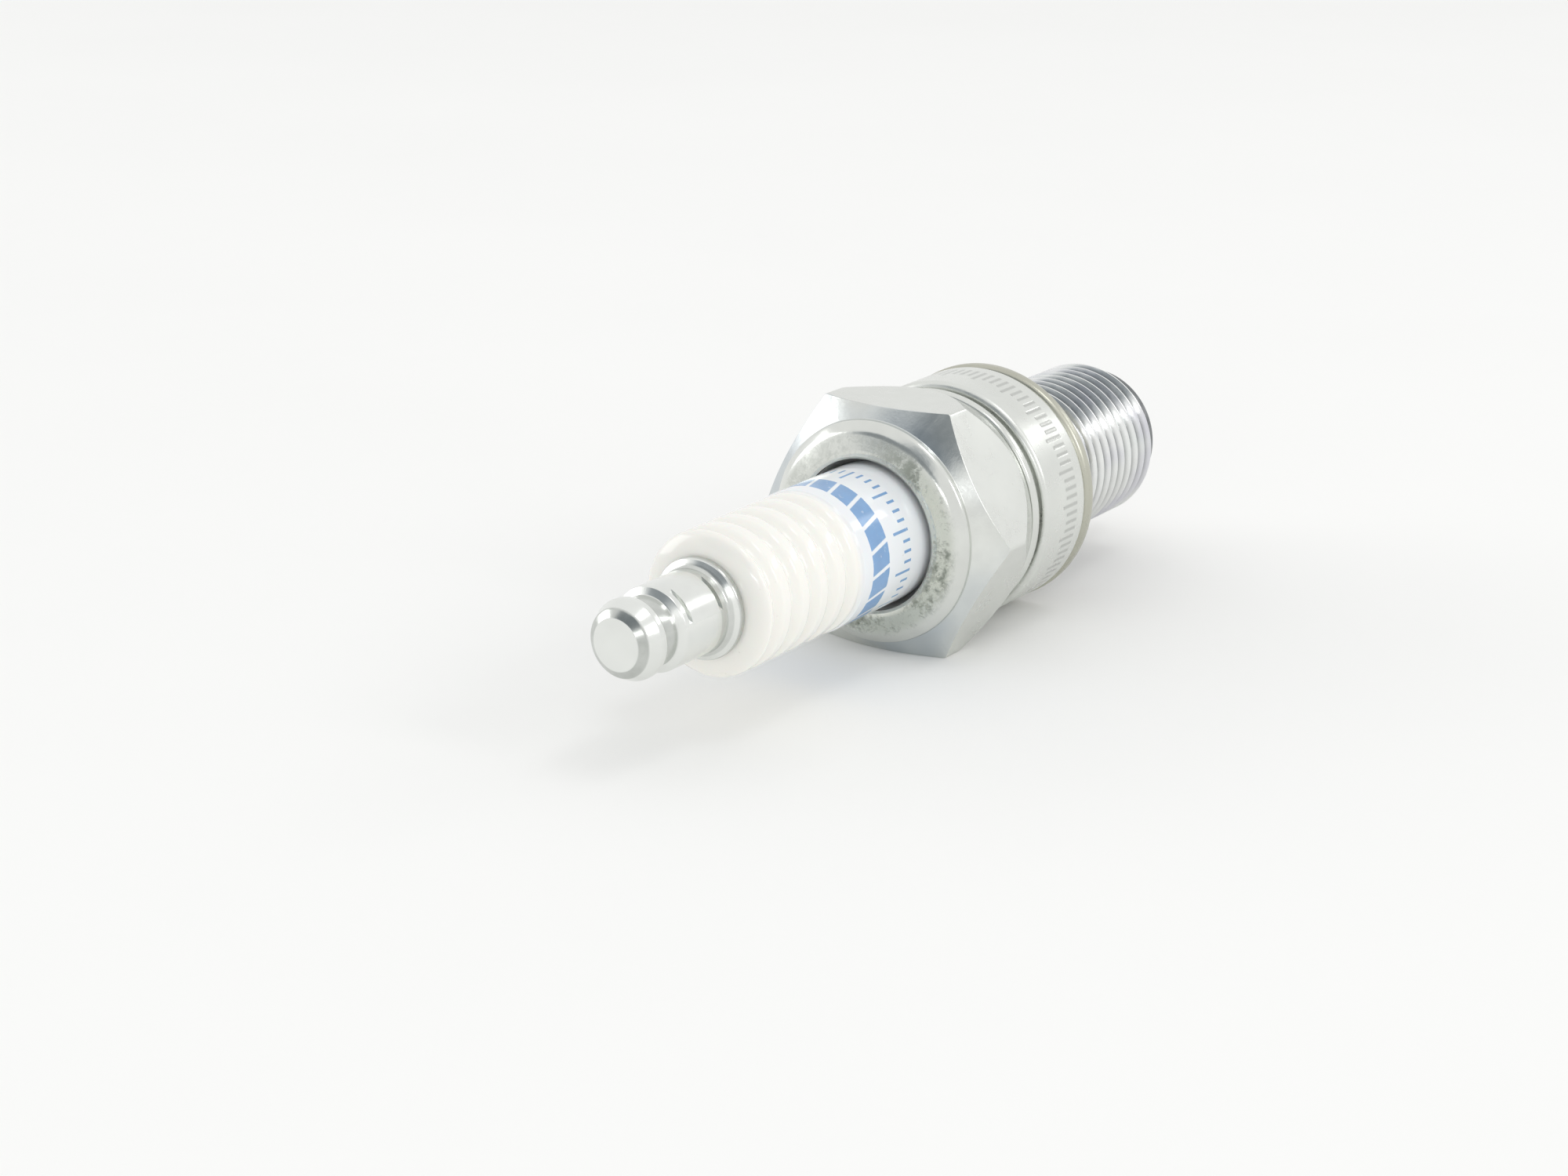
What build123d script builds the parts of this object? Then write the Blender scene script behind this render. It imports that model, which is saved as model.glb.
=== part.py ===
from build123d import *
import math
import os

# Spark plug with a 14 mm thread, 19 mm reach and a 20.8 mm hexagon, as an assembly of its pieces.
# Frame: millimetres. X is the plug's axis, towards the terminal. X = 0 is the gasket's sealing face,
# which meets the cylinder head. +Z is up, square to one hexagon flat, and the opposite flat faces down.

# ---- fits ----
SNUG = 0.02              # radial room between pieces that are pressed, cemented or staked together
NUT_RUNNING_GAP = 0.05   # radial room between the terminal nut's bore and the stud's thread crests

# ---- engine thread, reach and seat ----
THREAD_MAJOR_R = 7.0
THREAD_PITCH = 1.25
REACH = 19.0             # sealing face to the end of the shell
PILOT_LENGTH = 1.2       # plain nose of the shell, past the last turn
PILOT_STEP = 0.13        # how far the pilot and the relief lie under the thread's root
PILOT_CHAMFER = 0.4
RELIEF_LENGTH = 0.9      # plain shank between the first turn and the sealing face

# ---- sealing gasket, a folded steel ring held captive by the first turn ----
GASKET_THICKNESS = 1.3
GASKET_PROUD = 0.1       # its rim stands out of the collar's
GASKET_INNER_CLEARANCE = 0.45   # between its hole and the relief
GASKET_EDGE_ROUND = 0.5
GASKET_FOLD_GAP = 0.16
GASKET_RIM_WALL = 1.0    # solid metal outside the fold gap

# ---- shell head ----
HEX_ACROSS_FLATS = 20.8
HEX_LENGTH = 8.75
HEX_FACE_STEP = 1.0      # from the flats in to the circle where the front cone meets the front face
HEX_FRONT_CONE = 1.8     # length of the front cone at the corners
HEX_REAR_CONE = 4.7      # and of the rear one
HEX_REAR_STEP = 0.5      # how far the rear cone starts inside the flats
COLLAR_INSET = 0.1       # the round collar lies inside the flats
COLLAR_LENGTH = 6.6
COLLAR_ROUND = 0.55
GROOVE_WIDTH = 0.45      # each of the two grooves beside the heat-shrink bead
GROOVE_DEPTH = 0.7
BEAD_WIDTH = 1.0
BEAD_ROUND = 0.35
LIP_HEIGHT = 1.65        # crimped lip above the hexagon's front face
LIP_GAP = 0.45           # open ring between the lip and the insulator
LIP_WALL = 0.65
LIP_SLOPE = 0.5          # how far the lip's top falls from its inner edge to its shoulder
LIP_ROUND = 0.75
LIP_EDGE_ROUND = 0.22

# ---- shell inside ----
HEX_WALL = 2.48          # from the flats in to the wide bore
SHANK_WALL = 1.4         # from the relief in to the narrow bore
END_WALL = 1.6           # from the pilot in to the open firing end
SHELL_WEB = 3.0          # from the collar's rear face to the floor of the wide bore
LEDGE_DEPTH = 5.0        # from the sealing face down to the ledge that carries the insulator
LEDGE_LENGTH = 1.6
LEDGE_CLEARANCE = 0.2    # between the ledge and the insulator's nose
STEM_CLEARANCE = 0.1     # between the insulator's stem and the shell's narrow bore

# ---- insulator ----
SHOULDER_STEP = 1.95     # the insulator's widest part, inside the hexagon, over its bare body
RIB_STEP = 0.1           # the ribs' crests lie inside the bare body
TOP_STEP = 1.7           # and the top face inside the ribs
TOP_BEVEL = 0.8
TOP_ROUND = 0.8
RIB_PITCH = 2.48
RIB_COUNT = 5
RIB_GROOVE_WIDTH = 1.4
RIB_GROOVE_DEPTH = 0.48
RIB_FLANK = 0.6          # axial run of a groove's sloping side
RIB_ROUND = 0.6
TOP_TO_FIRST_GROOVE = 1.65
SHOULDER_LENGTH = 8.6
SHOULDER_BEVEL = 0.8
SEAT_STEP = 0.95         # radial step at the conical seat, from the stem to the nose
SEAT_LENGTH = 0.8        # axial length of the conical seat
NOSE_TIP_R = 2.15
NOSE_PROJECTION = 2.0    # past the end of the shell
NOSE_ROUND = 0.5
UPPER_BORE_R = 2.15
ELECTRODE_STEP_DEPTH = 3.0   # from the sealing face down to the step in the bore

# ---- packing between the insulator and the shell ----
SEAT_WASHER_THICKNESS = 0.4

# ---- electrodes ----
CENTRE_R = 1.25
CENTRE_TIP_PROJECTION = 1.4  # past the insulator's nose
CENTRE_HEAD_R = 1.85
CENTRE_HEAD_LENGTH = 1.2
CENTRE_TIP_CHAMFER = 0.15
CORE_R = 0.7
CORE_TIP_COVER = 2.2     # solid nickel ahead of the copper core
SPARK_GAP = 0.8
STRAP_WIDTH = 2.6
STRAP_THICKNESS = 1.2
STRAP_BEND_R = 1.5       # inside radius of the bend
STRAP_OVERHANG = 1.25    # past the axis

# ---- conductor through the insulator ----
LOWER_SEAL_LENGTH = 4.0
RESISTOR_LENGTH = 7.5
UPPER_SEAL_LENGTH = 4.2
STUD_FOOT_R = 1.45
STUD_FOOT_DEPTH = 2.6    # into the upper seal
STUD_SHANK_R = 1.9
STUD_FLANGE_R = 2.9
STUD_FLANGE_THICKNESS = 0.7
STUD_THREAD_R = 2.0
STUD_THREAD_PITCH = 0.7
STUD_THREAD_LENGTH = 7.6  # flange to tip, with the neck
STUD_NECK_LENGTH = 0.5
STUD_TIP_CHAMFER = 0.35
FOOT_RING_COUNT = 4
FOOT_RING_DEPTH = 0.15

# ---- terminal nut ----
SEAT_TO_TERMINAL = 53.0  # sealing face to the end of the nut
NUT_LENGTH = 10.7
NUT_FACE_R = 2.05
NUT_HEAD_R = 3.175
NUT_HEAD_LAND = 0.6
NUT_HEAD_NOSE = 1.5      # length of the nose ahead of the land: a slow cone, then a bevel
NUT_BEVEL_R = 2.7        # where the cone meets the bevel
NUT_BEVEL_LENGTH = 0.45
NUT_BEVEL_ROUND = 0.5
NUT_HEAD_BACK = 0.35     # length of the slope behind the land
NUT_NECK_R = 2.7
NUT_NECK_LENGTH = 1.5
NUT_BARREL_R = 3.35
NUT_BARREL_BEVEL = 0.3
NUT_FLANGE_R = 4.05
NUT_FLANGE_LENGTH = 0.7
NUT_FLANGE_ROUND = 0.3
NUT_FLANGE_FILLET = 0.4  # length of the slope between barrel and flange
NUT_POCKET_ROOM = 0.1    # around and above the stud's flange
NUT_BORE_SPARE = 0.4     # past the stud's tip
STAKE_WIDTH = 0.38       # notches that crimp the nut's thread
STAKE_DEPTH = 0.35
STAKE_ANGLE = 42.0       # from +Y towards +Z
STAKE_FROM_BARREL_END = 1.0
STAKE_FROM_FLANGE = 2.0  # from the face on the insulator
STAKE_COUNT = 2          # around the barrel, at each of the two stations

# ---- thread form, shared by both threads ----
THREAD_DEPTH_RATIO = 0.6134  # depth over pitch of a 60 degree metric thread
CREST_FLAT_RATIO = 0.125     # crest width over pitch
THREAD_HALF_ANGLE = 30.0
CUTTER_OVERRUN = 0.06        # how far a cutter stands out of what it cuts, over the pitch

# ---- drawing aids ----
CUT_PAST = 1.0           # how far a bore's cutter runs past the face it opens
ROUND_ROOM = 0.48        # largest share of a side that a round may take
FOOT_GROOVE_SHARE = 0.5  # groove width over ring pitch on the stud's foot

# ---- stations along the axis, worked out ----
X_SHELL_END = -REACH
X_THREAD_START = -RELIEF_LENGTH
X_THREAD_END = X_SHELL_END + PILOT_LENGTH
X_COLLAR_REAR = GASKET_THICKNESS
X_COLLAR_FRONT = X_COLLAR_REAR + COLLAR_LENGTH
X_BEAD_REAR = X_COLLAR_FRONT + GROOVE_WIDTH
X_BEAD_FRONT = X_BEAD_REAR + BEAD_WIDTH
X_HEX_REAR = X_BEAD_FRONT + GROOVE_WIDTH
X_HEX_FRONT = X_HEX_REAR + HEX_LENGTH
X_LIP_TOP = X_HEX_FRONT + LIP_HEIGHT
X_LIP_UNDER = X_LIP_TOP - LIP_WALL
X_BORE_FLOOR = X_COLLAR_REAR + SHELL_WEB
X_SHOULDER_REAR = X_BORE_FLOOR + SNUG
X_SHOULDER_FRONT = X_SHOULDER_REAR + SHOULDER_LENGTH
X_TERMINAL_END = SEAT_TO_TERMINAL
X_INSULATOR_TOP = X_TERMINAL_END - NUT_LENGTH
X_NOSE_TIP = X_SHELL_END - NOSE_PROJECTION
X_CENTRE_TIP = X_NOSE_TIP - CENTRE_TIP_PROJECTION
X_STRAP_FACE = X_CENTRE_TIP - SPARK_GAP
X_BORE_STEP = -ELECTRODE_STEP_DEPTH
X_CENTRE_HEAD_TOP = X_BORE_STEP + SNUG + CENTRE_HEAD_LENGTH
X_LOWER_SEAL_TOP = X_CENTRE_HEAD_TOP + SNUG + LOWER_SEAL_LENGTH
X_RESISTOR_TOP = X_LOWER_SEAL_TOP + SNUG + RESISTOR_LENGTH
X_UPPER_SEAL_TOP = X_RESISTOR_TOP + SNUG + UPPER_SEAL_LENGTH
X_STUD_FLANGE_TOP = X_INSULATOR_TOP + STUD_FLANGE_THICKNESS
X_STUD_NECK_TOP = X_STUD_FLANGE_TOP + STUD_NECK_LENGTH
X_STUD_TIP = X_STUD_FLANGE_TOP + STUD_THREAD_LENGTH

# ---- radii, worked out ----
THREAD_ROOT_R = THREAD_MAJOR_R - THREAD_DEPTH_RATIO * THREAD_PITCH
SHANK_R = THREAD_ROOT_R - PILOT_STEP
HEX_FLAT_R = HEX_ACROSS_FLATS / 2
HEX_CORNER_R = HEX_FLAT_R / math.cos(math.radians(30))
HEX_FACE_R = HEX_FLAT_R - HEX_FACE_STEP
COLLAR_R = HEX_FLAT_R - COLLAR_INSET
GASKET_OUTER_R = COLLAR_R + GASKET_PROUD
BEAD_R = HEX_FLAT_R - HEX_REAR_STEP
GROOVE_R = BEAD_R - GROOVE_DEPTH
WIDE_BORE_R = HEX_FLAT_R - HEX_WALL
SHOULDER_R = WIDE_BORE_R - SNUG
INSULATOR_R = SHOULDER_R - SHOULDER_STEP
RIB_R = INSULATOR_R - RIB_STEP
INSULATOR_TOP_R = RIB_R - TOP_STEP
LIP_INNER_R = INSULATOR_R + LIP_GAP
PACKING_WIRE_R = (WIDE_BORE_R - INSULATOR_R) / 2 - SNUG
CAVITY_R = SHANK_R - END_WALL
NARROW_BORE_R = SHANK_R - SHANK_WALL
STEM_R = NARROW_BORE_R - STEM_CLEARANCE
NOSE_ROOT_R = STEM_R - SEAT_STEP
LEDGE_R = NOSE_ROOT_R + LEDGE_CLEARANCE
ELECTRODE_BORE_R = CENTRE_R + SNUG
CORE_INSIDE_R = UPPER_BORE_R - SNUG
STUD_NECK_R = STUD_THREAD_R - THREAD_DEPTH_RATIO * STUD_THREAD_PITCH

# ---- packing between the insulator and the lip, worked out ----
X_LOWER_RING = X_SHOULDER_FRONT + SNUG + PACKING_WIRE_R
X_TALC_REAR = X_LOWER_RING + PACKING_WIRE_R + SNUG
X_UPPER_RING = X_LIP_UNDER - SNUG - PACKING_WIRE_R
X_TALC_FRONT = X_UPPER_RING - PACKING_WIRE_R - SNUG


def rounded_outline(points):
    """A closed flat face from points (x, y) or (x, y, radius), where a radius rounds that corner. A round
    that has no room takes nearly half of the shorter side."""
    count = len(points)
    here = [Vector(p[0], p[1]) for p in points]
    starts, ends, arcs = [], [], []
    for i, p in enumerate(points):
        to_last = here[i - 1] - here[i]
        to_next = here[(i + 1) % count] - here[i]
        turn = to_last.get_angle(to_next)
        if len(p) < 3 or p[2] == 0:
            starts.append(here[i])
            ends.append(here[i])
            arcs.append(None)
            continue
        half = math.radians(turn / 2)
        setback = min(p[2] / math.tan(half), ROUND_ROOM * to_last.length, ROUND_ROOM * to_next.length)
        radius = setback * math.tan(half)
        inward = (to_last.normalized() + to_next.normalized()).normalized()
        starts.append(here[i] + to_last.normalized() * setback)
        ends.append(here[i] + to_next.normalized() * setback)
        arcs.append(here[i] + inward * (radius / math.sin(half) - radius))
    edges = []
    for i in range(count):
        if arcs[i] is not None:
            edges.append(Edge.make_three_point_arc(starts[i], arcs[i], ends[i]))
        edges.append(Edge.make_line(ends[i], starts[(i + 1) % count]))
    return Face(Wire(edges))


def turned(points):
    """A solid of revolution about X, from the section's points (x, radius) or (x, radius, round)."""
    return revolve(rounded_outline(points), Axis.X, 360)


def ring(x0, x1, inner_r, outer_r, edge_round=0):
    return turned([(x0, inner_r), (x1, inner_r), (x1, outer_r, edge_round), (x0, outer_r, edge_round)])


def rod(x0, x1, radius):
    return turned([(x0, 0), (x1, 0), (x1, radius), (x0, radius)])


def threaded_rod(x0, x1, major_r, pitch, r0, r1):
    """A rod with a right-hand metric thread, from x0 to x1. Its ends taper at 45 degrees, to radius r0 at
    x0 and r1 at x1. The groove is cut in a longer rod, which the tapered ends then trim."""
    depth = THREAD_DEPTH_RATIO * pitch
    out = CUTTER_OVERRUN * pitch
    slope = math.tan(math.radians(THREAD_HALF_ANGLE))
    half_top = (1 - CREST_FLAT_RATIO) * pitch / 2
    half_root = half_top - depth * slope
    half_out = half_top + out * slope
    path = Helix(pitch, x1 - x0 + 2 * pitch, major_r - depth, center=(0, 0, x0 - pitch), direction=(0, 0, 1))
    across = Plane(origin=path @ 0, x_dir=(1, 0, 0), z_dir=path % 0)
    section = rounded_outline(
        [(0, -half_root), (depth + out, -half_out), (depth + out, half_out), (0, half_root)]
    )
    groove = Rot(0, 90, 0) * sweep(across * section, path=path, is_frenet=True)
    blank = rod(x0 - 2 * pitch, x1 + 2 * pitch, major_r)
    over_r = major_r + out
    ends = turned([(x0, 0), (x0, r0), (x0 + over_r - r0, over_r), (x1 - over_r + r1, over_r), (x1, r1), (x1, 0)])
    return (blank - groove) & ends


def seat_line(offset):
    """Points of the conical seat, from the stem's radius to the nose's, moved towards the firing end by
    offset."""
    x = -LEDGE_DEPTH - offset
    return x + SEAT_LENGTH, x


def seat_slope(radius, offset):
    """Where the conical seat moved by offset has this radius."""
    x_wide, x_narrow = seat_line(offset)
    return x_narrow + (radius - NOSE_ROOT_R) * (x_wide - x_narrow) / (STEM_R - NOSE_ROOT_R)


def hexagon():
    """The wrench hexagon: a prism with a flat down, trimmed by a cone at each end."""
    prism = Pos(X_HEX_REAR, 0, 0) * Rot(0, 90, 0) * extrude(
        RegularPolygon(HEX_CORNER_R, 6, rotation=90), HEX_LENGTH
    )
    cones = turned(
        [
            (X_HEX_REAR, 0),
            (X_HEX_REAR, BEAD_R),
            (X_HEX_REAR + HEX_REAR_CONE, HEX_CORNER_R),
            (X_HEX_FRONT - HEX_FRONT_CONE, HEX_CORNER_R),
            (X_HEX_FRONT, HEX_FACE_R),
            (X_HEX_FRONT, 0),
        ]
    )
    return prism & cones


def crimped_lip():
    """The rolled lip that closes the shell over the upper packing ring."""
    return turned(
        [
            (X_HEX_FRONT, HEX_FACE_R),
            (X_LIP_TOP - LIP_SLOPE, HEX_FACE_R, LIP_ROUND),
            (X_LIP_TOP, LIP_INNER_R + LIP_EDGE_ROUND, LIP_EDGE_ROUND),
            (X_LIP_TOP - LIP_EDGE_ROUND, LIP_INNER_R),
            (X_LIP_UNDER, LIP_INNER_R),
            (X_LIP_UNDER, WIDE_BORE_R),
            (X_HEX_FRONT, WIDE_BORE_R),
        ]
    )


def metal_shell():
    outside = turned(
        [
            (X_SHELL_END, 0),
            (X_SHELL_END, SHANK_R - PILOT_CHAMFER),
            (X_SHELL_END + PILOT_CHAMFER, SHANK_R),
            (X_THREAD_END, SHANK_R),
            (X_THREAD_END, 0),
        ]
    )
    outside += threaded_rod(X_THREAD_END, X_THREAD_START, THREAD_MAJOR_R, THREAD_PITCH, SHANK_R, SHANK_R)
    outside += turned(
        [
            (X_THREAD_START, 0),
            (X_THREAD_START, SHANK_R),
            (X_COLLAR_REAR, SHANK_R),
            (X_COLLAR_REAR, COLLAR_R, COLLAR_ROUND),
            (X_COLLAR_FRONT, COLLAR_R, COLLAR_ROUND),
            (X_COLLAR_FRONT, GROOVE_R),
            (X_BEAD_REAR, GROOVE_R),
            (X_BEAD_REAR, BEAD_R, BEAD_ROUND),
            (X_BEAD_FRONT, BEAD_R, BEAD_ROUND),
            (X_BEAD_FRONT, GROOVE_R),
            (X_HEX_REAR, GROOVE_R),
            (X_HEX_REAR, 0),
        ]
    )
    ledge_top_offset = SEAT_WASHER_THICKNESS + 2 * SNUG
    ledge_end = seat_slope(LEDGE_R, ledge_top_offset) - LEDGE_LENGTH
    bore = turned(
        [
            (X_SHELL_END - CUT_PAST, 0),
            (X_SHELL_END - CUT_PAST, CAVITY_R),
            (ledge_end - (CAVITY_R - LEDGE_R), CAVITY_R),
            (ledge_end, LEDGE_R),
            (seat_slope(LEDGE_R, ledge_top_offset), LEDGE_R),
            (seat_slope(NARROW_BORE_R, ledge_top_offset), NARROW_BORE_R),
            (X_BORE_FLOOR, NARROW_BORE_R),
            (X_BORE_FLOOR, WIDE_BORE_R),
            (X_HEX_FRONT + CUT_PAST, WIDE_BORE_R),
            (X_HEX_FRONT + CUT_PAST, 0),
        ]
    )
    return (outside + hexagon() - bore) + crimped_lip()


def ground_electrode():
    """A flat nickel strap, welded to the shell's end and bent over the centre electrode."""
    outer_z = -(SHANK_R - PILOT_CHAMFER)
    inner_z = outer_z + STRAP_THICKNESS
    back_x = X_STRAP_FACE - STRAP_THICKNESS
    side = make_face(
        Polyline(
            (X_SHELL_END, outer_z),
            (back_x, outer_z),
            (back_x, STRAP_OVERHANG),
            (X_STRAP_FACE, STRAP_OVERHANG),
            (X_STRAP_FACE, inner_z),
            (X_SHELL_END, inner_z),
            close=True,
        )
    )
    outer_corner = side.vertices().sort_by_distance((back_x, outer_z, 0))[0]
    side = fillet(outer_corner, STRAP_BEND_R + STRAP_THICKNESS)
    inner_corner = side.vertices().sort_by_distance((X_STRAP_FACE, inner_z, 0))[0]
    side = fillet(inner_corner, STRAP_BEND_R)
    return Rot(90, 0, 0) * extrude(side, STRAP_WIDTH / 2, both=True)


def sealing_gasket():
    inner_r = SHANK_R + GASKET_INNER_CLEARANCE
    body = ring(0, GASKET_THICKNESS, inner_r, GASKET_OUTER_R, GASKET_EDGE_ROUND)
    middle = GASKET_THICKNESS / 2
    fold = ring(
        middle - GASKET_FOLD_GAP / 2,
        middle + GASKET_FOLD_GAP / 2,
        inner_r - CUT_PAST,
        GASKET_OUTER_R - GASKET_RIM_WALL,
    )
    return body - fold


def rib_grooves():
    """Outline points of the ribbed stretch, from the firing side to the terminal side."""
    points = []
    root_r = RIB_R - RIB_GROOVE_DEPTH
    for i in reversed(range(RIB_COUNT)):
        x = X_INSULATOR_TOP - TOP_TO_FIRST_GROOVE - i * RIB_PITCH
        rear = x - RIB_GROOVE_WIDTH / 2
        front = x + RIB_GROOVE_WIDTH / 2
        points += [
            (rear, RIB_R, RIB_ROUND),
            (rear + RIB_FLANK, root_r, RIB_ROUND),
            (front - RIB_FLANK, root_r, RIB_ROUND),
            (front, RIB_R, RIB_ROUND),
        ]
    return points


def ceramic_insulator():
    grooves = rib_grooves()
    step_x = grooves[0][0] - RIB_ROUND - (INSULATOR_R - RIB_R)
    seat_wide, seat_narrow = seat_line(0)
    outside = turned(
        [
            (X_NOSE_TIP, 0),
            (X_NOSE_TIP, NOSE_TIP_R, NOSE_ROUND),
            (seat_narrow, NOSE_ROOT_R),
            (seat_wide, STEM_R),
            (X_SHOULDER_REAR, STEM_R),
            (X_SHOULDER_REAR, SHOULDER_R - SHOULDER_BEVEL),
            (X_SHOULDER_REAR + SHOULDER_BEVEL, SHOULDER_R),
            (X_SHOULDER_FRONT - SHOULDER_BEVEL, SHOULDER_R),
            (X_SHOULDER_FRONT, SHOULDER_R - SHOULDER_BEVEL),
            (X_SHOULDER_FRONT, INSULATOR_R),
            (step_x, INSULATOR_R),
            (step_x + INSULATOR_R - RIB_R, RIB_R),
            *grooves,
            (X_INSULATOR_TOP - TOP_BEVEL, RIB_R, TOP_ROUND),
            (X_INSULATOR_TOP, INSULATOR_TOP_R),
            (X_INSULATOR_TOP, 0),
        ]
    )
    bore = turned(
        [
            (X_NOSE_TIP - CUT_PAST, 0),
            (X_NOSE_TIP - CUT_PAST, ELECTRODE_BORE_R),
            (X_BORE_STEP, ELECTRODE_BORE_R),
            (X_BORE_STEP, UPPER_BORE_R),
            (X_INSULATOR_TOP + CUT_PAST, UPPER_BORE_R),
            (X_INSULATOR_TOP + CUT_PAST, 0),
        ]
    )
    return outside - bore


def insulator_seat_washer():
    """A thin steel ring on the ledge, shaped to the insulator's conical seat."""
    top, under = SNUG, SNUG + SEAT_WASHER_THICKNESS
    return turned(
        [
            (seat_slope(LEDGE_R, top), LEDGE_R),
            (seat_slope(STEM_R, top), STEM_R),
            (seat_slope(STEM_R, under), STEM_R),
            (seat_slope(LEDGE_R, under), LEDGE_R),
        ]
    )


def packing_ring(x):
    """A wire ring between the insulator and the shell."""
    wire = Plane(origin=(x, (INSULATOR_R + WIDE_BORE_R) / 2, 0)) * Circle(PACKING_WIRE_R)
    return revolve(wire, Axis.X, 360)


def talc_packing():
    return ring(X_TALC_REAR, X_TALC_FRONT, INSULATOR_R + SNUG, SHOULDER_R)


def centre_electrode():
    body = turned(
        [
            (X_CENTRE_TIP, 0),
            (X_CENTRE_TIP, CENTRE_R - CENTRE_TIP_CHAMFER),
            (X_CENTRE_TIP + CENTRE_TIP_CHAMFER, CENTRE_R),
            (X_BORE_STEP + SNUG, CENTRE_R),
            (X_BORE_STEP + SNUG, CENTRE_HEAD_R),
            (X_CENTRE_HEAD_TOP, CENTRE_HEAD_R),
            (X_CENTRE_HEAD_TOP, 0),
        ]
    )
    return body - rod(X_CENTRE_TIP + CORE_TIP_COVER, X_CENTRE_HEAD_TOP + CUT_PAST, CORE_R + SNUG)


def electrode_copper_core():
    return rod(X_CENTRE_TIP + CORE_TIP_COVER + SNUG, X_CENTRE_HEAD_TOP, CORE_R)


def lower_glass_seal():
    return rod(X_CENTRE_HEAD_TOP + SNUG, X_LOWER_SEAL_TOP, CORE_INSIDE_R)


def resistor():
    return rod(X_LOWER_SEAL_TOP + SNUG, X_RESISTOR_TOP, CORE_INSIDE_R)


def upper_glass_seal():
    body = rod(X_RESISTOR_TOP + SNUG, X_UPPER_SEAL_TOP, CORE_INSIDE_R)
    socket = rod(X_UPPER_SEAL_TOP - STUD_FOOT_DEPTH - SNUG, X_UPPER_SEAL_TOP + CUT_PAST, STUD_FOOT_R + SNUG)
    return body - socket


def terminal_stud():
    """A foot ringed for grip in the upper seal, a shank, a flange on the ceramic and a threaded end."""
    foot_x = X_UPPER_SEAL_TOP - STUD_FOOT_DEPTH
    shank_x = X_UPPER_SEAL_TOP + SNUG
    body = turned(
        [
            (foot_x, 0),
            (foot_x, STUD_FOOT_R),
            (shank_x, STUD_FOOT_R),
            (shank_x, STUD_SHANK_R),
            (X_INSULATOR_TOP, STUD_SHANK_R),
            (X_INSULATOR_TOP, STUD_FLANGE_R),
            (X_STUD_FLANGE_TOP, STUD_FLANGE_R),
            (X_STUD_FLANGE_TOP, STUD_NECK_R),
            (X_STUD_NECK_TOP, STUD_NECK_R),
            (X_STUD_NECK_TOP, 0),
        ]
    )
    ring_pitch = STUD_FOOT_DEPTH / (FOOT_RING_COUNT + 1)
    half_width = FOOT_GROOVE_SHARE * ring_pitch / 2
    for i in range(1, FOOT_RING_COUNT + 1):
        x = foot_x + i * ring_pitch
        body -= ring(x - half_width, x + half_width, STUD_FOOT_R - FOOT_RING_DEPTH, STUD_FOOT_R + SNUG)
    thread = threaded_rod(
        X_STUD_NECK_TOP,
        X_STUD_TIP,
        STUD_THREAD_R,
        STUD_THREAD_PITCH,
        STUD_NECK_R,
        STUD_THREAD_R - STUD_TIP_CHAMFER,
    )
    return body + thread


def stake_notches(x):
    """Flat-bottomed notches across the barrel, evenly round it."""
    cuts = []
    for i in range(STAKE_COUNT):
        block = Pos(x, NUT_BARREL_R - STAKE_DEPTH + NUT_FLANGE_R / 2, 0) * Box(
            STAKE_WIDTH, NUT_FLANGE_R, 2 * NUT_BARREL_R
        )
        cuts.append(Rot(STAKE_ANGLE + 360 * i / STAKE_COUNT, 0, 0) * block)
    return cuts


def terminal_nut():
    """A closed push-on terminal nut: head, neck, barrel and flange, screwed on the stud."""
    head_back = X_TERMINAL_END - NUT_HEAD_NOSE - NUT_HEAD_LAND
    neck_front = head_back - NUT_HEAD_BACK
    barrel_front = neck_front - NUT_NECK_LENGTH
    flange_front = X_INSULATOR_TOP + NUT_FLANGE_LENGTH
    outside = turned(
        [
            (X_INSULATOR_TOP, 0),
            (X_INSULATOR_TOP, NUT_FLANGE_R, NUT_FLANGE_ROUND),
            (flange_front, NUT_FLANGE_R, NUT_FLANGE_ROUND),
            (flange_front + NUT_FLANGE_FILLET, NUT_BARREL_R, NUT_FLANGE_FILLET),
            (barrel_front - NUT_BARREL_BEVEL, NUT_BARREL_R),
            (barrel_front, NUT_NECK_R),
            (neck_front, NUT_NECK_R),
            (head_back, NUT_HEAD_R),
            (X_TERMINAL_END - NUT_HEAD_NOSE, NUT_HEAD_R),
            (X_TERMINAL_END - NUT_BEVEL_LENGTH, NUT_BEVEL_R, NUT_BEVEL_ROUND),
            (X_TERMINAL_END, NUT_FACE_R),
            (X_TERMINAL_END, 0),
        ]
    )
    for x in (barrel_front - STAKE_FROM_BARREL_END, X_INSULATOR_TOP + STAKE_FROM_FLANGE):
        for cut in stake_notches(x):
            outside -= cut
    pocket = rod(X_INSULATOR_TOP - CUT_PAST, X_STUD_FLANGE_TOP + NUT_POCKET_ROOM, STUD_FLANGE_R + NUT_POCKET_ROOM)
    bore = rod(X_INSULATOR_TOP - CUT_PAST, X_STUD_TIP + NUT_BORE_SPARE, STUD_THREAD_R + NUT_RUNNING_GAP)
    return outside - pocket - bore


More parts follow.
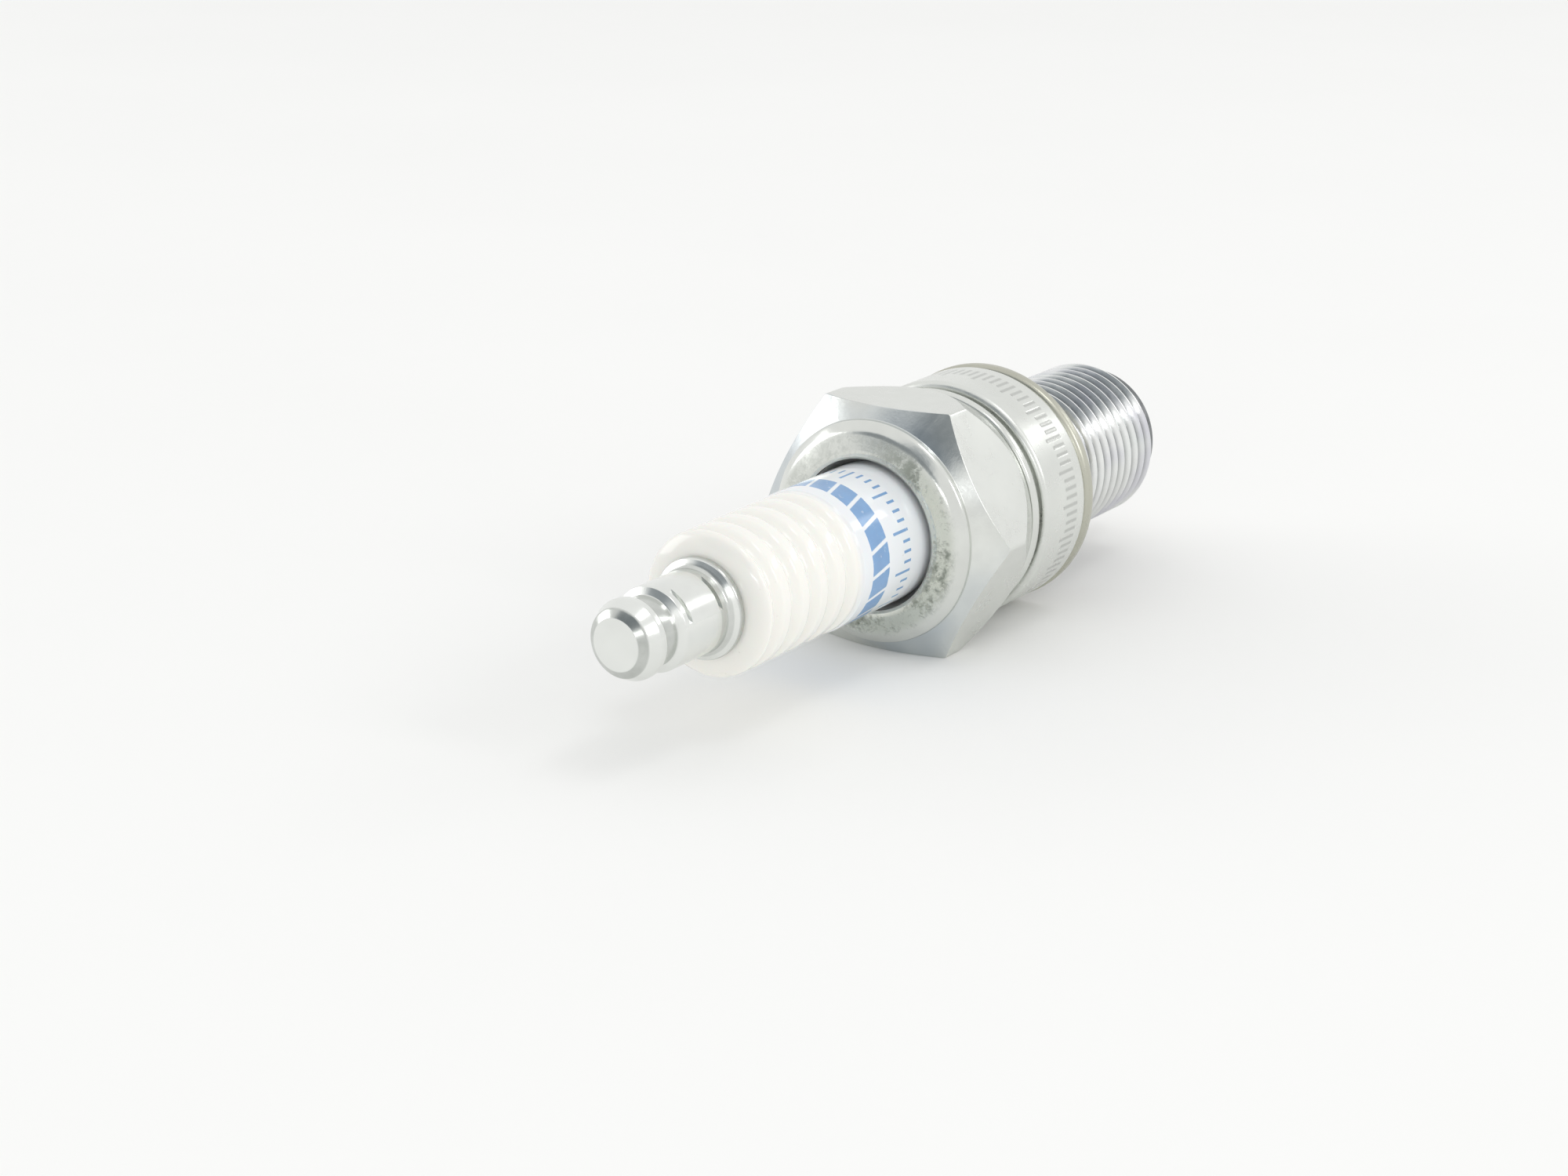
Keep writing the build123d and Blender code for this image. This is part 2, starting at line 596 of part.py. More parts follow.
PIECES = {
    "metal_shell": metal_shell,
    "ground_electrode": ground_electrode,
    "sealing_gasket": sealing_gasket,
    "ceramic_insulator": ceramic_insulator,
    "insulator_seat_washer": insulator_seat_washer,
    "lower_packing_ring": lambda: packing_ring(X_LOWER_RING),
    "talc_packing": talc_packing,
    "upper_packing_ring": lambda: packing_ring(X_UPPER_RING),
    "centre_electrode": centre_electrode,
    "electrode_copper_core": electrode_copper_core,
    "lower_glass_seal": lower_glass_seal,
    "resistor": resistor,
    "upper_glass_seal": upper_glass_seal,
    "terminal_stud": terminal_stud,
    "terminal_nut": terminal_nut,
}

os.makedirs("parts", exist_ok=True)
for name, make in PIECES.items():
    shape = make()
    export_step(shape, f"parts/{name}.step")
    box = shape.bounding_box()
    print(name, f"{shape.volume:.2f} mm3", [round(v, 2) for v in (*box.min, *box.max)])
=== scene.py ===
"""The finish of a spark plug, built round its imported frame.

Lengths are metres. +X runs along the plug's axis towards the terminal, and +Z is up, square to one flat
of the hexagon. Each visible piece is a turned or swept mesh that takes its place from the frame, and the
threads and the ribs are made by one node tree.
"""

import math

import bmesh
import bpy
import numpy as np
from bpy.props import FloatProperty, FloatVectorProperty, IntProperty, PointerProperty
from bpy.types import Operator, Panel, PropertyGroup
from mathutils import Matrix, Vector


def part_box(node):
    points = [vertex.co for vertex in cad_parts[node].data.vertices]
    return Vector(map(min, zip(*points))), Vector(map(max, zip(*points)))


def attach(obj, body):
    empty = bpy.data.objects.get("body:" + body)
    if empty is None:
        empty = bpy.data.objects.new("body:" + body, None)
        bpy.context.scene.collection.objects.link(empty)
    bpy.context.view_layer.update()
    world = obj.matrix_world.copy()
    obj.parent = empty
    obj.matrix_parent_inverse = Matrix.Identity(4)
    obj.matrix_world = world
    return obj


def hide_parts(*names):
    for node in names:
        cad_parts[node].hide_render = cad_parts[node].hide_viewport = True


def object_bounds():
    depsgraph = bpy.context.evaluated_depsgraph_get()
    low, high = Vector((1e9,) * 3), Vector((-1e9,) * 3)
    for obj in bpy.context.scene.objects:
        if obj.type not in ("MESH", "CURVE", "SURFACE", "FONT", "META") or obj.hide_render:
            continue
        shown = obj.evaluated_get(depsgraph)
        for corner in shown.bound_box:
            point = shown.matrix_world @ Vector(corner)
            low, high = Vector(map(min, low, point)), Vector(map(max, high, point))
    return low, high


bl_info = {
    "name": "Spark plug finish",
    "version": (1, 0, 0),
    "blender": (4, 5, 0),
    "location": "View3D > Sidebar > Spark plug",
    "description": "Builds the visible pieces of a spark plug round its packed frame",
    "category": "Object",
}

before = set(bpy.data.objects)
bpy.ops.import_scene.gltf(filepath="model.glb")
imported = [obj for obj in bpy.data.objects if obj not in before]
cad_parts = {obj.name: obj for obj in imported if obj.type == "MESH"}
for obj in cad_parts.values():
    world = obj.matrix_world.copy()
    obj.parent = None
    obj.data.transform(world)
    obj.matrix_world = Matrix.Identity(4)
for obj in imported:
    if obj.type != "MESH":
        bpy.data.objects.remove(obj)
CAD_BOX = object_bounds()

MM = 0.001
SHELL_LOW, SHELL_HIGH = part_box("metal_shell")
GASKET_LOW, GASKET_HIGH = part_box("sealing_gasket")
INSULATOR_LOW, INSULATOR_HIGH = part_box("ceramic_insulator")
CENTRE_LOW, CENTRE_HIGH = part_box("centre_electrode")
STRAP_LOW, STRAP_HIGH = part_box("ground_electrode")
STUD_LOW, STUD_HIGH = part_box("terminal_stud")
NUT_LOW, NUT_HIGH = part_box("terminal_nut")
WASHER_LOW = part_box("insulator_seat_washer")[0]

# an ISO thread's groove, as shares of its pitch
THREAD_DEPTH = 0.6134
THREAD_HALF_MOUTH = 0.4375
THREAD_HALF_FLOOR = 0.0834


# ---- sizes and colours a user may change ----


def length(name, description, default):
    """A length in metres, from a default in millimetres."""
    return FloatProperty(name=name, description=description, default=default * MM, precision=5, unit="LENGTH")


def place(name, description, default):
    """A length in metres that comes from the frame."""
    return FloatProperty(name=name, description=description, default=default, precision=5, unit="LENGTH")


def turned_by(name, description, degrees):
    """An angle in radians, from a default in degrees."""
    return FloatProperty(name=name, description=description, default=math.radians(degrees), unit="ROTATION")


def share(name, description, default):
    return FloatProperty(
        name=name, description=description, default=default, min=0.0, max=1.0, subtype="FACTOR"
    )


def colour(name, description, default):
    return FloatVectorProperty(
        name=name, description=description, default=default, size=3, min=0.0, max=1.0, subtype="COLOR"
    )


def count(name, description, default):
    return IntProperty(name=name, description=description, default=default, min=1)


class ShellSizes(PropertyGroup):
    thread_radius: length("Thread radius", "Outer radius of the engine thread", 7.0)
    thread_pitch: length("Thread pitch", "Advance of the engine thread in one turn", 1.25)
    shank_radius: length("Shank radius", "Plain shank at both ends of the thread", 6.103)
    pilot: length("Pilot length", "Plain nose past the last turn", 1.2)
    pilot_chamfer: length("Pilot chamfer", "Chamfer at the firing end", 0.4)
    relief: length("Relief length", "Plain shank between the thread and the sealing face", 0.9)
    collar_radius: length("Collar radius", "Radius of the round collar", 10.3)
    collar_length: length("Collar length", "Width of the round collar", 6.6)
    collar_round: length("Collar round", "Rounding of the collar's edges", 0.55)
    groove_width: length("Groove width", "Each groove beside the bead", 0.45)
    groove_depth: length("Groove depth", "Depth of the grooves under the bead", 0.7)
    bead_width: length("Bead width", "The bead between the grooves", 1.0)
    flat_radius: place("Flat radius", "From the axis to a flat of the hexagon", SHELL_HIGH.z)
    corner_round: length("Corner round", "Rounding of the hexagon's corners", 0.3)
    hex_length: length("Hexagon length", "Length of the hexagon along the axis", 8.75)
    face_step: length("Face step", "From a flat in to the front face's circle", 1.0)
    front_cone: length("Front cone", "Length of the front cone at a corner", 1.8)
    rear_cone: length("Rear cone", "Length of the rear cone at a corner", 4.7)
    rear_step: length("Rear step", "How far the rear cone starts inside the flats", 0.5)
    lip_height: length("Lip height", "The rolled lip above the hexagon", 1.65)
    lip_inner: length("Lip radius", "Inner radius of the rolled lip", 6.4)
    lip_slope: length("Lip slope", "Fall of the lip's top from its inner edge", 0.5)
    lip_wall: length("Lip wall", "Thickness of the rolled lip", 0.65)
    wide_bore: length("Wide bore", "Radius of the bore inside the hexagon", 7.92)
    narrow_bore: length("Narrow bore", "Radius of the bore inside the shank", 4.703)
    ledge: length("Ledge radius", "Radius inside the insulator's ledge", 3.85)
    cavity: length("Cavity radius", "Radius of the open firing end", 4.503)


class InsulatorSizes(PropertyGroup):
    neck_radius: length("Neck radius", "Smooth stretch next to the lip", 5.95)
    rib_radius: length("Rib radius", "Radius over the ribs", 5.85)
    rib_pitch: length("Rib pitch", "Spacing of the grooves between the ribs", 2.48)
    rib_count: count("Grooves", "Grooves round the insulator", 5)
    groove_width: length("Groove width", "Width of a groove at the ribs' crests", 1.4)
    groove_flank: length("Groove flank", "Run of a groove's sloping side", 0.6)
    groove_depth: length("Groove depth", "Depth of a groove", 0.48)
    groove_softness: length("Groove softness", "Softening of a groove's edges", 0.25)
    top_to_groove: length("Top to groove", "From the top face to the first groove", 1.65)
    top_radius: length("Top radius", "Radius of the top face", 4.15)
    top_dome: length("Top dome", "Length of the dome at the top", 0.9)
    bore: length("Bore", "Radius of the bore above the electrode", 2.15)


class NutSizes(PropertyGroup):
    face_radius: length("Face radius", "Radius of the flat end", 2.05)
    head_radius: length("Head radius", "Radius of the push-on head", 3.175)
    bevel_radius: length("Bevel radius", "Where the nose's cone meets its bevel", 2.7)
    bevel_length: length("Bevel length", "Length of the nose's bevel", 0.45)
    head_nose: length("Head nose", "Nose ahead of the head's land", 1.5)
    head_land: length("Head land", "Straight part of the head", 0.6)
    head_back: length("Head back", "Slope behind the head", 0.35)
    neck_radius: length("Neck radius", "Radius of the neck", 2.7)
    neck_length: length("Neck length", "Length of the neck", 1.5)
    barrel_radius: length("Barrel radius", "Radius of the barrel", 3.35)
    flange_length: length("Flange length", "Thickness of the flange", 0.7)
    flange_fillet: length("Flange fillet", "Slope between barrel and flange", 0.4)
    notch_width: length("Notch width", "Width of a staked notch", 0.4)
    notch_depth: length("Notch depth", "Depth of a staked notch", 0.35)
    notch_angle: turned_by("Notch angle", "Where the notches lie round the barrel", 42.0)
    stud_radius: length("Stud radius", "Outer radius of the stud's thread", 2.0)
    stud_pitch: length("Stud pitch", "Advance of the stud's thread in one turn", 0.7)
    running_gap: length("Running gap", "Room between the nut's bore and the stud", 0.05)


class Finishes(PropertyGroup):
    zinc: colour("Zinc", "Plating of the hexagon and the collar", (0.72, 0.735, 0.705))
    zinc_roughness: share("Zinc roughness", "Roughness of the plating", 0.3)
    thread_zinc: colour("Thread plating", "Brighter plating of the thread", (0.86, 0.87, 0.86))
    nickel: colour("Nickel", "Plating of the terminal nut", (0.8, 0.815, 0.79))
    nickel_roughness: share("Nickel roughness", "Roughness of the nut", 0.2)
    gasket: colour("Gasket", "Pale olive gasket", (0.5, 0.5, 0.43))
    stain: colour("Stain", "Oxide left on the rolled lip", (0.07, 0.08, 0.06))
    rib_glaze: colour("Rib glaze", "Glaze over the ribs", (0.93, 0.92, 0.87))
    neck_glaze: colour("Neck glaze", "Glaze of the smooth neck", (0.84, 0.87, 0.9))
    print_blue: colour("Print", "Printed band and ticks", (0.14, 0.32, 0.6))
    alloy: colour("Electrode alloy", "Nickel alloy of both electrodes", (0.42, 0.41, 0.38))
    copper: colour("Copper", "Core of the centre electrode", (0.66, 0.3, 0.17))


class StageSettings(PropertyGroup):
    camera_azimuth: turned_by("Camera azimuth", "Direction of the camera round the plug", 34.69)
    camera_elevation: turned_by("Camera elevation", "Height of the camera as an angle", 18.217)
    camera_distance: length("Camera distance", "From the aim to the camera", 240.0)
    lens: FloatProperty(name="Lens", description="Focal length for a 36 mm sensor", default=66.6, unit="CAMERA")
    aim: FloatVectorProperty(
        name="Aim",
        description="Where the camera looks",
        default=(0.02237, -0.0063, -0.00508),
        size=3,
        unit="LENGTH",
    )
    floor_colour: colour("Floor", "Pale floor", (0.93, 0.93, 0.92))
    sky_strength: FloatProperty(name="Sky strength", description="Light from all round", default=0.945, min=0.0)
    dark_strength: share("Dark side", "Share of the sky's light left in its dark patches", 0.34)


# ---- outlines and ring meshes ----


def rounded(points, steps=6):
    """Points (x, r) of an outline, from corners (x, r) or (x, r, round). A round with no room takes nearly
    half of the shorter side."""
    most_of_a_side = 0.48
    shortest_side = 1e-9
    straight = math.radians(89.5)
    total = len(points)
    result = []
    for i, corner in enumerate(points):
        here = np.array(corner[:2], float)
        size = corner[2] if len(corner) > 2 else 0.0
        if size == 0.0 or i in (0, total - 1):
            result.append(tuple(here))
            continue
        back = np.array(points[i - 1][:2], float) - here
        ahead = np.array(points[i + 1][:2], float) - here
        back_length, ahead_length = np.hypot(*back), np.hypot(*ahead)
        if min(back_length, ahead_length) < shortest_side:
            result += [tuple(here)] * (steps + 1)
            continue
        back, ahead = back / back_length, ahead / ahead_length
        half = math.acos(max(-1.0, min(1.0, float(back @ ahead)))) / 2
        if half > straight or half < 1e-3:
            result += [tuple(here)] * (steps + 1)
            continue
        setback = min(size / math.tan(half), most_of_a_side * back_length, most_of_a_side * ahead_length)
        radius = setback * math.tan(half)
        inward = (back + ahead) / np.hypot(*(back + ahead))
        centre = here + inward * radius / math.sin(half)
        first = here + back * setback - centre
        last = here + ahead * setback - centre
        turn = math.pi - 2 * half
        for k in range(steps + 1):
            t = k / steps
            a = math.sin((1 - t) * turn) / math.sin(turn)
            b = math.sin(t * turn) / math.sin(turn)
            result.append(tuple(centre + a * first + b * last))
    return result


def even_angles(columns):
    return [2 * math.pi * i / columns for i in range(columns)]


def crowded_angle(angle, crowding):
    """Draws angles towards the six corners of the hexagon."""
    return angle - crowding * math.sin(6 * angle) / 6


def ring_mesh(name, outlines, angles, closed):
    """A mesh turned about X. outlines holds one outline for each angle, or the one that all share."""
    columns = len(angles)
    if isinstance(outlines[0], tuple):
        outlines = [outlines] * columns
    rows = len(outlines[0])
    vertices = []
    for outline, angle in zip(outlines, angles):
        cosine, sine = math.cos(angle), math.sin(angle)
        vertices += [(x, r * cosine, r * sine) for x, r in outline]
    faces = []
    for i in range(columns):
        j = (i + 1) % columns
        for k in range(rows if closed else rows - 1):
            n = (k + 1) % rows
            faces.append((i * rows + k, i * rows + n, j * rows + n, j * rows + k))
    mesh = bpy.data.meshes.new(name)
    mesh.from_pydata(vertices, [], faces)
    return mesh


def new_object(name, mesh):
    obj = bpy.data.objects.new(name, mesh)
    bpy.context.scene.collection.objects.link(obj)
    return obj


def flatten(obj, name):
    """The evaluated object as a plain mesh object with this name; the old one goes."""
    bpy.context.view_layer.update()
    graph = bpy.context.evaluated_depsgraph_get()
    mesh = bpy.data.meshes.new_from_object(obj.evaluated_get(graph), depsgraph=graph)
    mesh.name = name
    bpy.data.objects.remove(obj)
    return new_object(name, mesh)


def close_and_smooth(obj, sharp_angle=35.0, weld=1e-6):
    """Welds seams and poles, turns faces outward, and shades smooth with crisp edges and flat flats."""
    work = bmesh.new()
    work.from_mesh(obj.data)
    bmesh.ops.remove_doubles(work, verts=work.verts, dist=weld)
    bmesh.ops.dissolve_degenerate(work, edges=work.edges, dist=weld / 2)
    bmesh.ops.recalc_face_normals(work, faces=work.faces)
    work.to_mesh(obj.data)
    work.free()
    for polygon in obj.data.polygons:
        polygon.use_smooth = True
    obj.data.set_sharp_from_angle(angle=math.radians(sharp_angle))
    weighted = obj.modifiers.new("weighted normals", "WEIGHTED_NORMAL")
    weighted.keep_sharp = True
    weighted.weight = 60
    return flatten(obj, obj.name)


def join(first, second):
    with bpy.context.temp_override(active_object=first, selected_editable_objects=[first, second]):
        bpy.ops.object.join()
    return first


def paint(obj, materials, choose=None):
    """Gives an object its materials, and each face the one that choose(centre, normal) returns."""
    obj.data.materials.clear()
    for material in materials:
        obj.data.materials.append(material)
    if choose:
        for polygon in obj.data.polygons:
            polygon.material_index = materials.index(choose(polygon.center, polygon.normal))


def toward(azimuth, elevation):
    """A unit vector, from its angle round the plug and its height as an angle."""
    level = math.cos(elevation)
    return Vector((math.cos(azimuth) * level, math.sin(azimuth) * level, math.sin(elevation)))


def stand_for(obj, node, body):
    """Puts a finished piece in place of its CAD node."""
    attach(obj, body)
    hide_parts(node)
    return obj


# ---- the node tree for threads and ribs ----


def tree_maths(tree, operation, *values):
    node = tree.nodes.new("ShaderNodeMath")
    node.operation = operation
    for i, value in enumerate(values):
        if isinstance(value, bpy.types.NodeSocket):
            tree.links.new(value, node.inputs[i])
        else:
            node.inputs[i].default_value = value
    return node.outputs[0]


SLEEVE_LENGTHS = ("Start", "End", "Crest Radius", "Pitch", "Lead", "Groove Depth", "Groove Half Width",
                  "Groove Floor Half Width", "Softness", "End Radius")


def grooved_sleeve_tree():
    """A sleeve round X whose grooves run straight round it, or along a right-hand helix when Lead is the
    pitch. Past Start and End it is drawn in to nothing, and at them it slopes to End Radius."""
    tree = bpy.data.node_groups.get("Grooved sleeve")
    if tree:
        return tree
    tree = bpy.data.node_groups.new("Grooved sleeve", "GeometryNodeTree")
    for name in SLEEVE_LENGTHS:
        tree.interface.new_socket(name, in_out="INPUT", socket_type="NodeSocketFloat")
    for name in ("Columns", "Rows"):
        tree.interface.new_socket(name, in_out="INPUT", socket_type="NodeSocketInt")
    for name in ("Column Crowding", "Row Crowding"):
        tree.interface.new_socket(name, in_out="INPUT", socket_type="NodeSocketFloat")
    tree.interface.new_socket("Material", in_out="INPUT", socket_type="NodeSocketMaterial")
    tree.interface.new_socket("Geometry", in_out="OUTPUT", socket_type="NodeSocketGeometry")
    given = tree.nodes.new("NodeGroupInput").outputs
    result = tree.nodes.new("NodeGroupOutput")

    def m(operation, *values):
        return tree_maths(tree, operation, *values)

    span = m("ADD", m("SUBTRACT", given["End"], given["Start"]), m("MULTIPLY", given["Lead"], 2.0))
    turns = m("CEIL", m("SUBTRACT", m("DIVIDE", span, given["Pitch"]), 0.001))
    row_total = m("MULTIPLY", turns, given["Rows"])
    grid = tree.nodes.new("GeometryNodeMeshGrid")
    grid.inputs["Size X"].default_value = 1.0
    grid.inputs["Size Y"].default_value = 1.0
    for cells, socket in ((given["Columns"], "Vertices X"), (row_total, "Vertices Y")):
        whole = tree.nodes.new("FunctionNodeFloatToInt")
        whole.rounding_mode = "ROUND"
        tree.links.new(m("ADD", cells, 1.0), whole.inputs[0])
        tree.links.new(whole.outputs[0], grid.inputs[socket])
    place_of = tree.nodes.new("GeometryNodeInputPosition")
    split = tree.nodes.new("ShaderNodeSeparateXYZ")
    tree.links.new(place_of.outputs[0], split.inputs[0])
    column = m("ROUND", m("MULTIPLY", m("ADD", split.outputs["X"], 0.5), given["Columns"]))
    row = m("ROUND", m("MULTIPLY", m("ADD", split.outputs["Y"], 0.5), row_total))
    around = m("MULTIPLY", m("DIVIDE", column, given["Columns"]), 2 * math.pi)
    drawn = m("DIVIDE", m("MULTIPLY", m("SINE", m("MULTIPLY", around, 6.0)), given["Column Crowding"]), 6.0)
    angle = m("SUBTRACT", around, drawn)
    along = m("DIVIDE", row, given["Rows"])
    wave = m("SINE", m("MULTIPLY", m("FRACT", along), 2 * math.pi))
    turn = m("ADD", along, m("DIVIDE", m("MULTIPLY", wave, given["Row Crowding"]), 2 * math.pi))
    advance = m("DIVIDE", m("MULTIPLY", given["Lead"], angle), 2 * math.pi)
    first = m("SUBTRACT", given["Start"], given["Lead"])
    raw = m("ADD", first, m("ADD", m("MULTIPLY", given["Pitch"], turn), advance))
    x = m("MINIMUM", m("MAXIMUM", raw, given["Start"]), given["End"])
    off_centre = m("MULTIPLY", m("ABSOLUTE", m("SUBTRACT", m("FRACT", turn), 0.5)), given["Pitch"])
    floor_r = m("SUBTRACT", given["Crest Radius"], given["Groove Depth"])
    run = m("SUBTRACT", given["Groove Half Width"], given["Groove Floor Half Width"])
    slope = m("DIVIDE", given["Groove Depth"], run)
    flank = m("ADD", floor_r, m("MULTIPLY", m("SUBTRACT", off_centre, given["Groove Floor Half Width"]), slope))
    crest = m("SMOOTH_MIN", flank, given["Crest Radius"], given["Softness"])
    section = m("SMOOTH_MAX", crest, floor_r, given["Softness"])
    room = m("MINIMUM", m("SUBTRACT", x, given["Start"]), m("SUBTRACT", given["End"], x))
    radius = m("MINIMUM", section, m("ADD", given["End Radius"], room))
    combine = tree.nodes.new("ShaderNodeCombineXYZ")
    tree.links.new(x, combine.inputs["X"])
    tree.links.new(m("MULTIPLY", radius, m("COSINE", angle)), combine.inputs["Y"])
    tree.links.new(m("MULTIPLY", radius, m("SINE", angle)), combine.inputs["Z"])
    move = tree.nodes.new("GeometryNodeSetPosition")
    tree.links.new(grid.outputs["Mesh"], move.inputs["Geometry"])
    tree.links.new(combine.outputs[0], move.inputs["Position"])
    weld = tree.nodes.new("GeometryNodeMergeByDistance")
    weld.inputs["Distance"].default_value = 1e-6
    tree.links.new(move.outputs[0], weld.inputs["Geometry"])
    realize = tree.nodes.new("GeometryNodeRealizeInstances")
    tree.links.new(weld.outputs[0], realize.inputs["Geometry"])
    dress = tree.nodes.new("GeometryNodeSetMaterial")
    tree.links.new(realize.outputs[0], dress.inputs["Geometry"])
    tree.links.new(given["Material"], dress.inputs["Material"])
    tree.links.new(dress.outputs[0], result.inputs[0])
    return tree


def grooved_sleeve(name, **sizes):
    """A plain mesh object made by the grooved sleeve tree."""
    tree = grooved_sleeve_tree()
    obj = new_object(name, bpy.data.meshes.new(name))
    modifier = obj.modifiers.new("sleeve", "NODES")
    modifier.node_group = tree
    for item in tree.interface.items_tree:
        if item.in_out == "INPUT":
            modifier[item.identifier] = sizes[item.name.replace(" ", "_").lower()]
    return flatten(obj, name)


def screw_thread(name, pitch, **sizes):
    """A right-hand thread of the ISO form; sizes are the sleeve's own."""
    return grooved_sleeve(
        name,
        pitch=pitch,
        lead=pitch,
        groove_depth=THREAD_DEPTH * pitch,
        groove_half_width=THREAD_HALF_MOUTH * pitch,
        groove_floor_half_width=THREAD_HALF_FLOOR * pitch,
        rows=16,
        row_crowding=0.0,
        **sizes,
    )


# ---- materials ----


def add(tree, kind, inputs=None, **settings):
    node = tree.nodes.new(kind)
    for key, value in settings.items():
        setattr(node, key, value)
    for key, value in (inputs or {}).items():
        if isinstance(value, bpy.types.NodeSocket):
            tree.links.new(value, node.inputs[key])
        else:
            node.inputs[key].default_value = value
    return node


class Recipe:
    """A material being put together, on Object coordinates."""

    def __init__(self, name):
        self.material = bpy.data.materials.new(name)
        self.material.use_nodes = True
        self.tree = self.material.node_tree
        self.tree.nodes.clear()
        self.shader = add(self.tree, "ShaderNodeBsdfPrincipled")
        output = add(self.tree, "ShaderNodeOutputMaterial")
        self.tree.links.new(self.shader.outputs[0], output.inputs["Surface"])
        self.place = add(self.tree, "ShaderNodeTexCoord").outputs["Object"]
        split = add(self.tree, "ShaderNodeSeparateXYZ", {0: self.place})
        self.x, self.y, self.z = split.outputs
        squares = [self.maths("POWER", part, 2.0) for part in (self.y, self.z)]
        self.radius = self.maths("SQRT", self.maths("ADD", *squares))

    def maths(self, operation, *values):
        return tree_maths(self.tree, operation, *values)

    def angle(self):
        """Round the axis, from -0.5 to 0.5 of a turn."""
        return self.maths("DIVIDE", self.maths("ARCTAN2", self.z, self.y), 2 * math.pi)

    def noise(self, scale, detail=3.0, roughness=0.5, stretch=None, distortion=0.0):
        place_of = self.place
        if stretch:
            place_of = add(self.tree, "ShaderNodeMapping", {"Vector": place_of, "Scale": stretch}).outputs[0]
        inputs = {"Vector": place_of, "Scale": scale, "Detail": detail}
        inputs.update({"Roughness": roughness, "Distortion": distortion})
        return add(self.tree, "ShaderNodeTexNoise", inputs).outputs[0]

    def turning(self, scale, detail=4.0):
        """Fine rings left by a lathe, on cylinders and on faces alike."""
        outward = self.maths("ADD", self.x, self.radius)
        inputs = {"W": outward, "Scale": scale, "Detail": detail, "Roughness": 0.7}
        return add(self.tree, "ShaderNodeTexNoise", inputs, noise_dimensions="1D").outputs[0]

    def spread(self, value, low, high, to_low=0.0, to_high=1.0):
        inputs = {"Value": value, "From Min": low, "From Max": high, "To Min": to_low, "To Max": to_high}
        return add(self.tree, "ShaderNodeMapRange", inputs, interpolation_type="SMOOTHSTEP").outputs[0]

    def between(self, value, low, high, edge):
        """1 between low and high, with soft edges."""
        rise = self.spread(value, low - edge, low + edge)
        fall = self.spread(value, high - edge, high + edge, 1.0, 0.0)
        return self.maths("MULTIPLY", rise, fall)

    def tick_row(self, x, count, low, high, shorter, edge, width, soft):
        """1 on plain ticks round the axis from low to high; all but each fourth end shorter. The width
        is where a tick starts and ends, as shares of the spacing."""
        steps = self.maths("ADD", self.maths("MULTIPLY", self.angle(), float(count)), count / 2)
        tick = self.between(self.maths("FRACT", steps), *width, soft)
        fourth = self.maths("FRACT", self.maths("DIVIDE", self.maths("FLOOR", steps), 4.0))
        end = self.maths("SUBTRACT", high, self.spread(fourth, 0.1, 0.2, 0.0, shorter))
        inside = self.spread(self.maths("SUBTRACT", end, x), -edge, edge)
        row = self.maths("MULTIPLY", self.spread(x, low - edge, low + edge), inside)
        return self.maths("MULTIPLY", tick, row)

    def mix(self, factor, first, second, blend="MIX"):
        node = add(self.tree, "ShaderNodeMix", {0: factor}, data_type="RGBA", blend_type=blend)
        for value, socket in ((first, node.inputs[6]), (second, node.inputs[7])):
            if isinstance(value, bpy.types.NodeSocket):
                self.tree.links.new(value, socket)
            else:
                socket.default_value = (*value[:3], 1.0)
        return node.outputs[2]

    def bump(self, height, distance, normal=None):
        inputs = {"Height": height, "Strength": 1.0, "Distance": distance}
        if normal is not None:
            inputs["Normal"] = normal
        return add(self.tree, "ShaderNodeBump", inputs).outputs[0]

    def set(self, **values):
        """Values or sockets for the shader; an underscore in a name stands for a space."""
        for key, value in values.items():
            socket = self.shader.inputs[key.replace("_", " ")]
            if isinstance(value, bpy.types.NodeSocket):
                self.tree.links.new(value, socket)
            elif hasattr(value, "__len__"):
                socket.default_value = (*value[:3], 1.0)
            else:
                socket.default_value = value
        return self.material


def shade(value, factor):
    """A colour made darker or lighter."""
    return tuple(min(1.0, part * factor) for part in value)


def machined_metal(name, tint, roughness, turned=6e-7, drawn=0.0, pits=0.0, cloud=0.06, warm=None, shaded_rings=()):
    """Plated or bare metal with lathe marks, drawn marks along X, pits and a cloudy tone. Each shaded ring is
    (x from, x to, r from, r to, amount): painted shade, the colour darkened there towards a dark grey."""
    painted_shade_grey, edge = (0.2, 0.22, 0.2), 0.06 * MM
    r = Recipe(name)
    tone = r.noise(260.0, 4.0, 0.6)
    base = r.mix(tone, shade(tint, 1 - cloud), shade(tint, 1 + cloud))
    if warm:
        base = r.mix(r.spread(r.noise(95.0, 2.0), 0.4, 0.75), base, warm)
    smear = r.noise(900.0, 3.0, 0.6)
    uneven = r.spread(smear, 0.3, 0.7, 0.75, 1.0)
    # painted shade: each ring darkens the colour towards a dark grey where edges and grooves would fall into
    # shade
    for x_from, x_to, r_from, r_to, amount in shaded_rings:
        along, across = r.between(r.x, x_from, x_to, edge), r.between(r.radius, r_from, r_to, edge)
        here = r.maths("MULTIPLY", along, across)
        base = r.mix(r.maths("MULTIPLY", r.maths("MULTIPLY", here, uneven), amount), base, painted_shade_grey)
    rough = r.spread(r.maths("ADD", tone, smear), 0.6, 1.4, roughness * 0.8, roughness * 1.25)
    normal = r.bump(r.turning(9000.0), turned)
    if drawn:
        marks = r.noise(1.0, 4.0, 0.65, stretch=(180.0, 6500.0, 6500.0))
        normal = r.bump(marks, drawn, normal)
    if pits:
        normal = r.bump(r.noise(2600.0, 2.0, 0.6), pits, normal)
    return r.set(Base_Color=base, Metallic=1.0, Roughness=rough, Normal=normal)


